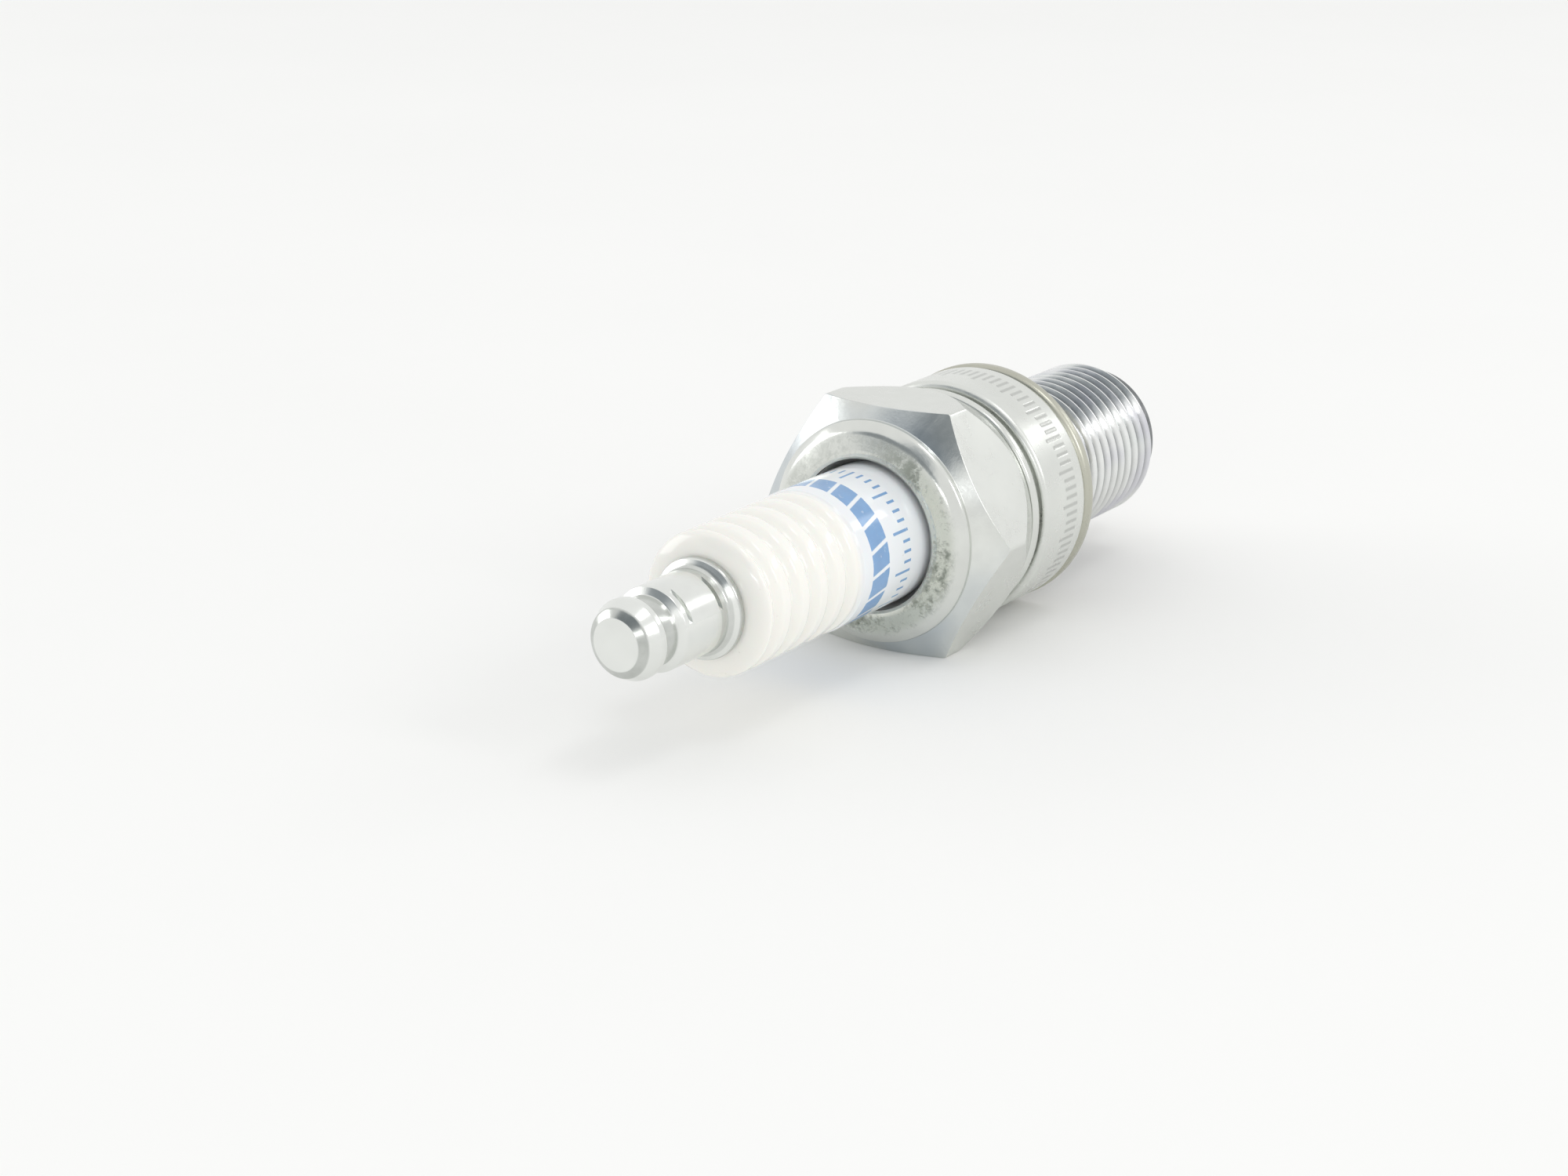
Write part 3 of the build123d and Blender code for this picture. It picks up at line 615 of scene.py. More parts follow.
def stained_lip(name, tint, stain, inner, outer):
    """The rolled lip: bright plating with oxide that gathers on its inner slope."""
    r = Recipe(name)
    tone = r.noise(300.0, 4.0, 0.6)
    base = r.mix(tone, shade(tint, 0.9), shade(tint, 1.1))
    cloud = r.noise(1500.0, 6.0, 0.75, distortion=0.4)
    blotch = r.noise(240.0, 2.0, 0.5)
    low_side = r.spread(r.maths("MULTIPLY_ADD", r.z, -0.7, r.y), -6.0 * MM, 3.0 * MM, 0.25, 1.0)
    gather = r.maths("MULTIPLY", r.between(r.radius, inner, outer, 0.5 * MM), low_side)
    amount = r.maths("ADD", r.maths("MULTIPLY", cloud, 0.7), r.maths("MULTIPLY", blotch, 0.4))
    mask = r.maths("MULTIPLY", r.spread(amount, 0.5, 0.68), gather)
    base = r.mix(r.maths("MULTIPLY", gather, 0.35), base, shade(stain, 5.0))
    dirt = r.mix(r.noise(700.0, 2.0), stain, shade(stain, 2.6))
    base = r.mix(r.maths("MULTIPLY", mask, 0.8), base, dirt)
    rough = r.maths("ADD", r.maths("MULTIPLY", mask, 0.3), 0.17)
    metal = r.maths("SUBTRACT", 1.0, r.maths("MULTIPLY", mask, 0.7))
    normal = r.bump(r.turning(4000.0), 2.5e-6)
    normal = r.bump(r.noise(1500.0, 3.0, 0.6), 8e-6, normal)
    return r.set(Base_Color=base, Metallic=metal, Roughness=rough, Normal=normal)


def stamped_collar(name, tint, roughness, low, high):
    """The collar's satin plating, with a row of fine plain ticks struck in it."""
    r = Recipe(name)
    tone = r.noise(240.0, 4.0, 0.6)
    base = r.mix(tone, shade(tint, 0.93), shade(tint, 1.05))
    struck = r.tick_row(r.x, 88, low, high, shorter=0.55 * MM, edge=0.08 * MM, width=(0.3, 0.7), soft=0.12)
    base = r.mix(r.maths("MULTIPLY", struck, 0.45), base, shade(tint, 0.45))
    smear = r.noise(900.0, 3.0, 0.6)
    rough = r.spread(smear, 0.3, 0.7, roughness * 0.85, roughness * 1.2)
    normal = r.bump(r.turning(9000.0), 6e-7)
    normal = r.bump(r.noise(2600.0, 2.0, 0.6), 3e-7, normal)
    normal = r.bump(r.maths("SUBTRACT", 1.0, struck), 3e-5, normal)
    return r.set(Base_Color=base, Metallic=1.0, Roughness=rough, Normal=normal)


def bright_thread(name, tint, root_r, crest_r):
    """Bright plating with the faint violet and blue-green bloom of a thin chromate film, and painted shade in
    the roots.
    """
    violet, blue_green, root_shade_grey = (0.46, 0.44, 0.6), (0.42, 0.56, 0.52), (0.1, 0.11, 0.115)
    r = Recipe(name)
    tone = r.noise(320.0, 3.0, 0.6)
    base = r.mix(tone, shade(tint, 0.9), shade(tint, 1.08))
    bloom = r.spread(r.noise(190.0, 2.0), 0.45, 0.7)
    base = r.mix(r.maths("MULTIPLY", bloom, 0.35), base, violet)
    other = r.spread(r.noise(140.0, 2.0, stretch=(1.0, 1.4, 0.8)), 0.5, 0.75)
    base = r.mix(r.maths("MULTIPLY", other, 0.3), base, blue_green)
    # painted shade: the colour goes dark grey towards the root radius, standing in for shade in the thread's
    # grooves
    patchy = r.spread(r.noise(400.0, 3.0), 0.2, 0.6, 0.7, 1.0)
    root = r.maths("MULTIPLY", r.spread(r.radius, root_r, crest_r, 0.9, 0.0), patchy)
    base = r.mix(root, base, root_shade_grey)
    rough = r.spread(r.noise(1200.0, 3.0), 0.3, 0.7, 0.13, 0.22)
    normal = r.bump(r.noise(1.0, 3.0, 0.6, stretch=(900.0, 900.0, 900.0)), 2e-6)
    return r.set(Base_Color=base, Metallic=1.0, Roughness=rough, Normal=normal)


def printed_glaze(name, finish, band, ticks, change):
    """Glazed alumina: warm over the ribs, cooler on the neck, with a printed band of plain blocks and ticks.
    band and ticks are (x from, x to), and change is where the neck meets the ribs."""
    block_count, lean = 18.0, 3.5 * (band[1] - band[0])
    ragged, edge = 0.09 * MM, 0.04 * MM
    r = Recipe(name)
    uneven = r.maths("MULTIPLY", r.maths("SUBTRACT", r.noise(2200.0, 2.0), 0.5), ragged)
    x = r.maths("ADD", r.x, uneven)
    cool = r.spread(r.x, change - 0.5 * MM, change + 0.5 * MM, 1.0, 0.0)
    base = r.mix(cool, finish.rib_glaze, finish.neck_glaze)
    base = r.mix(r.maths("MULTIPLY", r.noise(420.0, 4.0, 0.6), 0.1), base, shade(finish.rib_glaze, 0.8))
    speck = r.spread(r.noise(1900.0, 2.0, 0.4), 0.74, 0.8)
    base = r.mix(r.maths("MULTIPLY", speck, 0.25), base, (0.55, 0.5, 0.42))
    slant = r.maths("DIVIDE", r.maths("SUBTRACT", x, band[0]), lean)
    blocks = r.maths("FRACT", r.maths("ADD", r.maths("MULTIPLY", r.angle(), block_count), slant))
    stripe = r.maths("MULTIPLY", r.between(x, *band, edge), r.between(blocks, 0.06, 0.9, 0.025))
    row = r.tick_row(x, 44, *ticks, shorter=1.1 * MM, edge=edge, width=(0.36, 0.64), soft=0.035)
    outside = r.spread(r.radius, 5.6 * MM, 5.75 * MM)
    ink = r.maths("MAXIMUM", stripe, row)
    worn = r.spread(r.noise(1500.0, 4.0, 0.7), 0.24, 0.4, 0.55, 1.0)
    ink = r.maths("MULTIPLY", r.maths("MULTIPLY", ink, worn), outside)
    blue = r.mix(r.noise(700.0, 3.0), shade(finish.print_blue, 0.85), shade(finish.print_blue, 1.15))
    base = r.mix(r.maths("MULTIPLY", ink, 0.93), base, blue)
    rough = r.spread(r.noise(800.0, 3.0), 0.3, 0.7, 0.07, 0.13)
    rough = r.maths("ADD", rough, r.maths("MULTIPLY", ink, 0.08))
    normal = r.bump(r.noise(330.0, 2.0), 1.2e-5)
    normal = r.bump(ink, 4e-6, normal)
    return r.set(
        Base_Color=base,
        Roughness=rough,
        Normal=normal,
        IOR=1.6,
        Coat_Weight=0.2,
        Coat_Roughness=0.1,
        Subsurface_Weight=0.08,
        Subsurface_Scale=0.6 * MM,
    )


def mineral(name, tint, roughness, grain, relief, metallic=0.0):
    """Pressed powder, fused glass or plain wire: a grainy tone and a matching relief."""
    r = Recipe(name)
    tone = r.noise(grain, 5.0, 0.65)
    base = r.mix(tone, shade(tint, 0.75), shade(tint, 1.2))
    rough = r.spread(r.noise(grain * 0.5, 3.0), 0.3, 0.7, roughness * 0.85, min(1.0, roughness * 1.15))
    normal = r.bump(r.noise(grain * 1.7, 3.0, 0.6), relief)
    return r.set(Base_Color=base, Metallic=metallic, Roughness=rough, Normal=normal)


# ---- operators ----


class SPARKPLUG_OT_shell(Operator):
    """Build the shell: collar, grooves and bead, hexagon, rolled lip, bores and engine thread"""

    bl_idname = "spark_plug.shell"
    bl_label = "Shell"

    columns = 216
    crowding = 0.85

    def outline(self, s, angle):
        """The shell's section at one angle: from the thread's top end along the outside to the lip, and
        back through the bore to the thread's lower end."""
        hair, edge = 0.06 * MM, 0.12 * MM
        bead_round = 0.35 * MM
        bore_floor, ledge_cone, ledge_length = 3.0 * MM, 0.6 * MM, 1.6 * MM
        lip_turn = 0.22 * MM
        sealing = GASKET_HIGH.x
        collar_end = sealing + s.collar_length
        bead_start = collar_end + s.groove_width
        bead_end = bead_start + s.bead_width
        hex_start = bead_end + s.groove_width
        hex_end = hex_start + s.hex_length
        lip_top = hex_end + s.lip_height
        bead_r = s.flat_radius - s.rear_step
        groove_r = bead_r - s.groove_depth
        face_r = s.flat_radius - s.face_step
        corner_r = s.flat_radius / math.cos(math.radians(30))
        across = self.hexagon_radius(s, angle)
        rear_x = hex_start + (across - bead_r) * s.rear_cone / (corner_r - bead_r)
        front_x = hex_end - (across - face_r) * s.front_cone / (corner_r - face_r)
        floor_x = sealing + bore_floor
        ledge_x = WASHER_LOW.x
        ledge_end = ledge_x - ledge_length
        end_x = SHELL_LOW.x
        return rounded(
            [
                (-s.relief, s.shank_radius),
                (sealing, s.shank_radius, edge),
                (sealing, s.collar_radius, s.collar_round),
                (collar_end, s.collar_radius, s.collar_round),
                (collar_end, groove_r, edge),
                (bead_start, groove_r, edge),
                (bead_start, bead_r, bead_round),
                (bead_end, bead_r, bead_round),
                (bead_end, groove_r, edge),
                (hex_start, groove_r, edge),
                (hex_start, bead_r, hair),
                (rear_x, across, edge),
                (front_x, across, edge),
                (hex_end, face_r, edge),
                (lip_top - 2.3 * s.lip_slope, face_r, 0.5 * MM),
                (lip_top - 0.9 * s.lip_slope, face_r - 0.8 * MM, 1.2 * MM),
                (lip_top, s.lip_inner + 0.6 * MM, 1.5 * MM),
                (lip_top - 0.1 * s.lip_slope, s.lip_inner + lip_turn, lip_turn),
                (lip_top - lip_turn, s.lip_inner, hair),
                (lip_top - s.lip_wall, s.lip_inner, hair),
                (lip_top - s.lip_wall, s.wide_bore),
                (floor_x, s.wide_bore),
                (floor_x, s.narrow_bore),
                (ledge_x + ledge_cone, s.narrow_bore),
                (ledge_x, s.ledge),
                (ledge_end, s.ledge),
                (ledge_end - (s.cavity - s.ledge), s.cavity, hair),
                (end_x, s.cavity, edge),
                (end_x, s.shank_radius - s.pilot_chamfer, hair),
                (end_x + s.pilot_chamfer, s.shank_radius, hair),
                (end_x + s.pilot, s.shank_radius),
            ]
        )

    def hexagon_radius(self, s, angle):
        """From the axis to the hexagon at this angle, with rounded corners."""
        off = abs((angle + math.pi / 6) % (math.pi / 3) - math.pi / 6)
        centre = (s.flat_radius - s.corner_round) / math.cos(math.radians(30))
        tangent = math.atan2(s.corner_round * 0.5, centre + s.corner_round * math.cos(math.radians(30)))
        if off < tangent:
            return centre * math.cos(off) + math.sqrt(s.corner_round**2 - (centre * math.sin(off)) ** 2)
        return s.flat_radius / math.cos(math.radians(30) - off)

    def execute(self, context):
        s = context.scene.spark_plug_shell
        finish = context.scene.spark_plug_finishes
        angles = [crowded_angle(angle, self.crowding) for angle in even_angles(self.columns)]
        sections = [self.outline(s, angle) for angle in angles]
        body = new_object("shell", ring_mesh("shell", sections, angles, False))
        satin = machined_metal("plated hexagon", finish.zinc, finish.zinc_roughness, drawn=1.2e-6, pits=2e-7)
        turned = machined_metal("plated turned faces", finish.zinc, finish.zinc_roughness * 0.7)
        ticks = (2.9 * MM, 5.2 * MM)
        collar = stamped_collar("plated collar", shade(finish.zinc, 1.03), finish.zinc_roughness, *ticks)
        lip = stained_lip("rolled lip", finish.zinc, finish.stain, 6.7 * MM, 8.4 * MM)
        cone = machined_metal(
            "forged cone",
            finish.zinc,
            finish.zinc_roughness * 0.7,
            drawn=4e-6,
            pits=5e-6,
            cloud=0.25,
            warm=(0.52, 0.57, 0.61),
        )
        thread = bright_thread("plated thread", finish.thread_zinc, 6.3 * MM, 6.92 * MM)
        collar_end = GASKET_HIGH.x + s.collar_length
        hex_start = collar_end + 2 * s.groove_width + s.bead_width
        hex_end = hex_start + s.hex_length

        def choose(centre, normal):
            if centre.x < GASKET_LOW.x:
                return thread
            if centre.x < collar_end:
                return collar
            if centre.x > hex_end:
                return lip
            out = math.hypot(centre.y, centre.z)
            flat = abs(normal.x) < 0.05 and centre.x > hex_start and out > s.flat_radius * 0.99
            if flat:
                return satin
            return cone if centre.x > hex_end - s.front_cone else turned

        paint(body, [satin, turned, collar, lip, thread, cone], choose)
        screw = screw_thread(
            "shell_thread",
            s.thread_pitch,
            start=SHELL_LOW.x + s.pilot,
            end=-s.relief,
            crest_radius=s.thread_radius,
            softness=0.11 * MM,
            end_radius=s.shank_radius,
            columns=self.columns,
            column_crowding=self.crowding,
            material=thread,
        )
        shell = close_and_smooth(join(body, screw))
        stand_for(shell, "metal_shell", "plug")
        return {"FINISHED"}


class SPARKPLUG_OT_strap(Operator):
    """Build the ground electrode, a flat strap bent over the centre electrode"""

    bl_idname = "spark_plug.strap"
    bl_label = "Ground electrode"

    def execute(self, context):
        finish = context.scene.spark_plug_finishes
        thickness, inner_bend = 1.2 * MM, 1.5 * MM
        width = STRAP_HIGH.y - STRAP_LOW.y
        bend = inner_bend + thickness / 2
        leg_z = STRAP_LOW.z + thickness / 2
        arm_x = STRAP_LOW.x + thickness / 2
        foot_x, tip_z = STRAP_HIGH.x, STRAP_HIGH.z
        path = [((foot_x, leg_z), (-1.0, 0.0)), ((arm_x + bend, leg_z), (-1.0, 0.0))]
        steps = 20
        for i in range(1, steps + 1):
            turn = math.pi / 2 * i / steps
            at = (arm_x + bend - bend * math.sin(turn), leg_z + bend - bend * math.cos(turn))
            path.append((at, (-math.cos(turn), math.sin(turn))))
        path.append(((arm_x, tip_z), (0.0, 1.0)))
        corner = 0.3 * MM
        section = []
        for across, out, start in ((1, 1, 0), (-1, 1, 1), (-1, -1, 2), (1, -1, 3)):
            for k in range(7):
                angle = math.pi / 2 * (start + k / 6)
                y = across * (width / 2 - corner) + corner * math.cos(angle)
                section.append((y, out * (thickness / 2 - corner) + corner * math.sin(angle)))
        rings = [(at, along, 0.0) for at, along in path]
        bevel = 0.12 * MM
        tip, along = path[-1]
        rings[-1] = ((tip[0] - along[0] * bevel, tip[1] - along[1] * bevel), along, 0.0)
        rings.append((tip, along, bevel))
        vertices, faces = [], []
        for at, along, inset in rings:
            shrink_y = 1 - inset / (width / 2)
            shrink_t = 1 - inset / (thickness / 2)
            for y, t in section:
                x = at[0] + along[1] * t * shrink_t
                z = at[1] - along[0] * t * shrink_t
                vertices.append((x, y * shrink_y, z))
        n = len(section)
        for i in range(len(rings) - 1):
            for k in range(n):
                j = (k + 1) % n
                faces.append((i * n + k, i * n + j, (i + 1) * n + j, (i + 1) * n + k))
        faces.append(tuple(range(n)))
        faces.append(tuple(range((len(rings) - 1) * n, len(rings) * n)))
        mesh = bpy.data.meshes.new("strap")
        mesh.from_pydata(vertices, [], faces)
        strap = new_object("strap", mesh)
        alloy = machined_metal(
            "strap alloy", finish.alloy, 0.34, turned=1e-7, drawn=1.6e-6, pits=1.2e-6, cloud=0.1
        )
        paint(strap, [alloy])
        stand_for(close_and_smooth(strap), "ground_electrode", "plug")
        return {"FINISHED"}


class SPARKPLUG_OT_gasket(Operator):
    """Build the captive folded gasket"""

    bl_idname = "spark_plug.gasket"
    bl_label = "Sealing gasket"

    def execute(self, context):
        finish = context.scene.spark_plug_finishes
        inner, outer = 6.55 * MM, GASKET_HIGH.z
        low, high = GASKET_LOW.x, GASKET_HIGH.x
        middle, half_fold = (low + high) / 2, 0.08 * MM
        fold_end = outer - 1.0 * MM
        soft, tight, rim = 0.3 * MM, 0.05 * MM, 0.5 * MM
        ring = rounded(
            [
                (low, (inner + outer) / 2),
                (low, inner, soft),
                (middle - half_fold, inner, soft),
                (middle - half_fold, fold_end, tight),
                (middle + half_fold, fold_end, tight),
                (middle + half_fold, inner, soft),
                (high, inner, soft),
                (high, outer, rim),
                (low, outer, rim),
                (low, (inner + outer) / 2 + 0.01 * MM),
            ]
        )
        gasket = new_object("gasket", ring_mesh("gasket", ring, even_angles(192), True))
        worn = shade(finish.gasket, 1.15)
        steel = machined_metal(
            "gasket steel", finish.gasket, 0.3, turned=1.2e-6, pits=1.5e-6, cloud=0.1, warm=worn
        )
        paint(gasket, [steel])
        stand_for(close_and_smooth(gasket), "sealing_gasket", "sealing_gasket")
        return {"FINISHED"}


class SPARKPLUG_OT_insulator(Operator):
    """Build the glazed insulator with its ribs and its print"""

    bl_idname = "spark_plug.insulator"
    bl_label = "Insulator"

    columns = 192

    def execute(self, context):
        s = context.scene.spark_plug_insulator
        finish = context.scene.spark_plug_finishes
        top, tip = INSULATOR_HIGH.x, INSULATOR_LOW.x
        shoulder_r = INSULATOR_HIGH.z
        ribs_end = top - s.top_dome
        ribs_start = top - s.top_to_groove - (s.rib_count - 0.5) * s.rib_pitch
        rim = s.rib_radius - 0.03 * MM
        bore_floor, electrode_bore = -3.0 * MM, 1.27 * MM
        seat_x, seat_cone = -5.0 * MM, 0.8 * MM
        tip_r, nose_r, core_r = 2.15 * MM, 3.65 * MM, 4.6 * MM
        shoulder_start = GASKET_HIGH.x + 3.02 * MM
        shoulder_end = shoulder_start + 8.6 * MM
        chamfer = 0.8 * MM
        hair, edge, shoulder_round, blend = 0.08 * MM, 0.2 * MM, 0.3 * MM, 0.8 * MM
        rim_x = ribs_start - 0.35 * MM
        step = s.neck_radius - s.rib_radius
        dome = []
        for i in range(13):
            turn = math.pi / 2 * i / 12
            swell = (rim - s.top_radius) * math.cos(turn) ** 1.5
            dome.append((ribs_end + s.top_dome * math.sin(turn), s.top_radius + swell))
        outline = rounded(
            [
                *dome,
                (top, s.bore, hair),
                (bore_floor, s.bore),
                (bore_floor, electrode_bore),
                (tip, electrode_bore, hair),
                (tip, tip_r, 0.5 * MM),
                (seat_x, nose_r, edge),
                (seat_x + seat_cone, core_r, edge),
                (shoulder_start, core_r),
                (shoulder_start, shoulder_r - chamfer, hair),
                (shoulder_start + chamfer, shoulder_r, shoulder_round),
                (shoulder_end - chamfer, shoulder_r, shoulder_round),
                (shoulder_end, shoulder_r - chamfer, hair),
                (shoulder_end, s.neck_radius, 0.15 * MM),
                (rim_x - 2 * step, s.neck_radius, blend),
                (rim_x, rim, blend),
                (ribs_start, rim),
            ]
        )
        band, ticks = (25.35 * MM, 27.7 * MM), (22.2 * MM, 24.3 * MM)
        glaze = printed_glaze("printed glaze", finish, band, ticks, ribs_start - 0.3 * MM)
        body = new_object("insulator", ring_mesh("insulator", outline, even_angles(self.columns), False))
        paint(body, [glaze])
        ribs = grooved_sleeve(
            "insulator_ribs",
            start=ribs_start,
            end=ribs_end,
            crest_radius=s.rib_radius,
            pitch=s.rib_pitch,
            lead=0.0,
            groove_depth=s.groove_depth,
            groove_half_width=s.groove_width / 2,
            groove_floor_half_width=s.groove_width / 2 - s.groove_flank,
            softness=s.groove_softness,
            end_radius=rim,
            columns=self.columns,
            rows=32,
            column_crowding=0.0,
            row_crowding=0.62,
            material=glaze,
        )
        stand_for(close_and_smooth(join(body, ribs)), "ceramic_insulator", "plug")
        return {"FINISHED"}


class SPARKPLUG_OT_centre_electrode(Operator):
    """Build the centre electrode"""

    bl_idname = "spark_plug.centre_electrode"
    bl_label = "Centre electrode"

    def execute(self, context):
        finish = context.scene.spark_plug_finishes
        tip, top = CENTRE_LOW.x, CENTRE_HIGH.x
        radius, head = 1.25 * MM, CENTRE_HIGH.z
        head_x = -2.98 * MM
        core, core_x = 0.72 * MM, tip + 2.2 * MM
        outline = rounded(
            [
                (tip, 0.0),
                (tip, radius, 0.15 * MM),
                (head_x, radius),
                (head_x, head, 0.1 * MM),
                (top, head, 0.1 * MM),
                (top, core),
                (core_x, core),
                (core_x, 0.0),
            ]
        )
        name = "centre_electrode_rod"
        electrode = new_object(name, ring_mesh(name, outline, even_angles(96), False))
        alloy = machined_metal("electrode alloy", finish.alloy, 0.26, turned=9e-7, pits=8e-7, cloud=0.1)
        paint(electrode, [alloy])
        stand_for(close_and_smooth(electrode), "centre_electrode", "plug")
        return {"FINISHED"}


class SPARKPLUG_OT_stud(Operator):
    """Build the terminal stud with its thread"""

    bl_idname = "spark_plug.stud"
    bl_label = "Terminal stud"

    columns = 72

    def execute(self, context):
        s = context.scene.spark_plug_nut
        finish = context.scene.spark_plug_finishes
        base = NUT_LOW.x
        flange_top = base + 0.7 * MM
        thread_start, thread_end = flange_top + 0.5 * MM, STUD_HIGH.x
        root = s.stud_radius - THREAD_DEPTH * s.stud_pitch
        flange_r, shank_r, foot_r, groove_r = STUD_HIGH.z, 1.9 * MM, 1.45 * MM, 1.3 * MM
        foot, shank = STUD_LOW.x, STUD_LOW.x + 2.62 * MM
        foot_grooves, foot_length = 4, 2.6 * MM
        hair, edge = 0.06 * MM, 0.12 * MM
        lower = [(thread_start, root), (flange_top, root, hair), (flange_top, flange_r, edge)]
        lower += [(base, flange_r, hair), (base, shank_r, hair), (shank, shank_r, hair), (shank, foot_r)]
        ring_pitch = foot_length / (foot_grooves + 1)
        for i in range(foot_grooves, 0, -1):
            x = foot + i * ring_pitch
            lower += [(x + ring_pitch / 4, foot_r), (x + ring_pitch / 4, groove_r)]
            lower += [(x - ring_pitch / 4, groove_r), (x - ring_pitch / 4, foot_r)]
        lower += [(foot, foot_r, hair), (foot, 0.0)]
        plate = machined_metal("plated stud", finish.nickel, 0.28, pits=8e-7)
        angles = even_angles(self.columns)
        body = new_object("stud", ring_mesh("stud", rounded(lower), angles, False))
        paint(body, [plate])
        end_face = [(thread_end, root), (thread_end, 0.0)]
        tip = new_object("stud_tip", ring_mesh("stud_tip", end_face, angles, False))
        paint(tip, [plate])
        screw = screw_thread(
            "stud_thread",
            s.stud_pitch,
            start=thread_start,
            end=thread_end,
            crest_radius=s.stud_radius,
            softness=hair,
            end_radius=root,
            columns=self.columns,
            column_crowding=0.0,
            material=plate,
        )
        stand_for(close_and_smooth(join(join(body, tip), screw)), "terminal_stud", "plug")
        return {"FINISHED"}


class SPARKPLUG_OT_nut(Operator):
    """Build the terminal nut with its staked notches"""

    bl_idname = "spark_plug.nut"
    bl_label = "Terminal nut"

    columns = 240

    def notched(self, outline, low, high, floor):
        """The outline with a notch between two stations, cut down to the floor's radius."""
        above = next(i for i, (x, r) in enumerate(outline) if x < high) - 1
        below = next(i for i, (x, r) in enumerate(outline) if x <= low)
        stations = []
        for x in (high, low):
            for i in range(above, len(outline) - 1):
                (xa, ra), (xb, rb) = outline[i], outline[i + 1]
                if xa >= x >= xb:
                    stations.append((x, ra + (rb - ra) * (xa - x) / max(xa - xb, 1e-12)))
                    break
        (high_x, high_r), (low_x, low_r) = stations
        wall = [(high_x, high_r), (high_x, min(high_r, floor)), (low_x, min(low_r, floor)), (low_x, low_r)]
        return outline[: above + 1] + wall + outline[below:]

    def execute(self, context):
        s = context.scene.spark_plug_nut
        finish = context.scene.spark_plug_finishes
        base, end = NUT_LOW.x, NUT_HIGH.x
        flange_r = NUT_HIGH.z
        hair, edge, flange_round = 0.08 * MM, 0.16 * MM, 0.3 * MM
        barrel_chamfer = 0.3 * MM
        notch_below_barrel_end, notch_above_base = 1.0 * MM, 2.0 * MM
        pocket_r, pocket_top = STUD_HIGH.z + 0.1 * MM, base + 0.8 * MM
        bore_end = STUD_HIGH.x + 0.4 * MM
        land_front = end - s.head_nose
        head_back = land_front - s.head_land
        neck_front = head_back - s.head_back
        barrel_front = neck_front - s.neck_length
        flange_front = base + s.flange_length
        bore = s.stud_radius + s.running_gap
        outline = rounded(
            [
                (end, 0.0),
                (end, s.face_radius, 0.12 * MM),
                (end - s.bevel_length, s.bevel_radius, 0.5 * MM),
                (land_front, s.head_radius, 0.5 * MM),
                (head_back, s.head_radius, 0.3 * MM),
                (neck_front, s.neck_radius, 0.35 * MM),
                (barrel_front, s.neck_radius, edge),
                (barrel_front - barrel_chamfer, s.barrel_radius, edge),
                (flange_front + s.flange_fillet, s.barrel_radius, s.flange_fillet),
                (flange_front, flange_r, flange_round),
                (base, flange_r, flange_round),
                (base, pocket_r, hair),
                (pocket_top, pocket_r),
                (pocket_top, bore, hair),
                (bore_end, bore),
                (bore_end, 0.0),
            ]
        )
        angles = even_angles(self.columns)
        sections = []
        for angle in angles:
            off = min((angle - s.notch_angle) % math.pi, (s.notch_angle - angle) % math.pi)
            floor = (s.barrel_radius - s.notch_depth) / max(math.cos(off), 0.05)
            section = outline
            for middle in (barrel_front - notch_below_barrel_end, base + notch_above_base):
                low, high = middle - s.notch_width / 2, middle + s.notch_width / 2
                section = self.notched(section, low, high, floor)
            sections.append(section)
        nut = new_object("nut", ring_mesh("nut", sections, angles, False))
        # painted shade at the face's bevel, the back of the head, the neck, the groove above the flange and the
        # flange's rim
        shaded_rings = (
            (end - s.bevel_length - 0.1 * MM, end, s.face_radius, s.bevel_radius, 0.5),
            (neck_front - 0.1 * MM, head_back + 0.05 * MM, s.neck_radius, flange_r, 0.5),
            (barrel_front, neck_front, 0.0, flange_r, 0.4),
            (flange_front, flange_front + 1.4 * MM, 0.0, s.barrel_radius + 0.3 * MM, 0.3),
            (base, flange_front, flange_r - 0.12 * MM, flange_r + 0.3 * MM, 0.4),
        )
        plate = machined_metal(
            "plated nut",
            finish.nickel,
            finish.nickel_roughness,
            turned=1.5e-6,
            pits=3e-6,
            cloud=0.1,
            shaded_rings=shaded_rings,
        )
        paint(nut, [plate])
        stand_for(close_and_smooth(nut), "terminal_nut", "terminal_nut")
        return {"FINISHED"}


class SPARKPLUG_OT_inner_pieces(Operator):
    """Finish the pieces sealed inside the plug"""

    bl_idname = "spark_plug.inner_pieces"
    bl_label = "Inner pieces"

    def execute(self, context):
        finish = context.scene.spark_plug_finishes
        wire = machined_metal("packing wire", (0.4, 0.4, 0.39), 0.4, pits=1.5e-6, cloud=0.12)
        copper = machined_metal("drawn copper", finish.copper, 0.3, drawn=1.5e-6)
        talc = mineral("pressed talc", (0.74, 0.72, 0.66), 0.85, 1400.0, 1.5e-5)
        seal = mineral("copper and glass seal", (0.17, 0.1, 0.07), 0.3, 2200.0, 6e-6)
        carbon = mineral("carbon and glass resistor", (0.045, 0.045, 0.05), 0.4, 2600.0, 6e-6)
        dress = {
            "insulator_seat_washer": wire,
            "lower_packing_ring": wire,
            "upper_packing_ring": wire,
            "talc_packing": talc,
            "electrode_copper_core": copper,
            "lower_glass_seal": seal,
            "upper_glass_seal": seal,
            "resistor": carbon,
        }
        for node, material in dress.items():
            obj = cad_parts[node]
            obj.data.materials.clear()
            obj.data.materials.append(material)
        return {"FINISHED"}


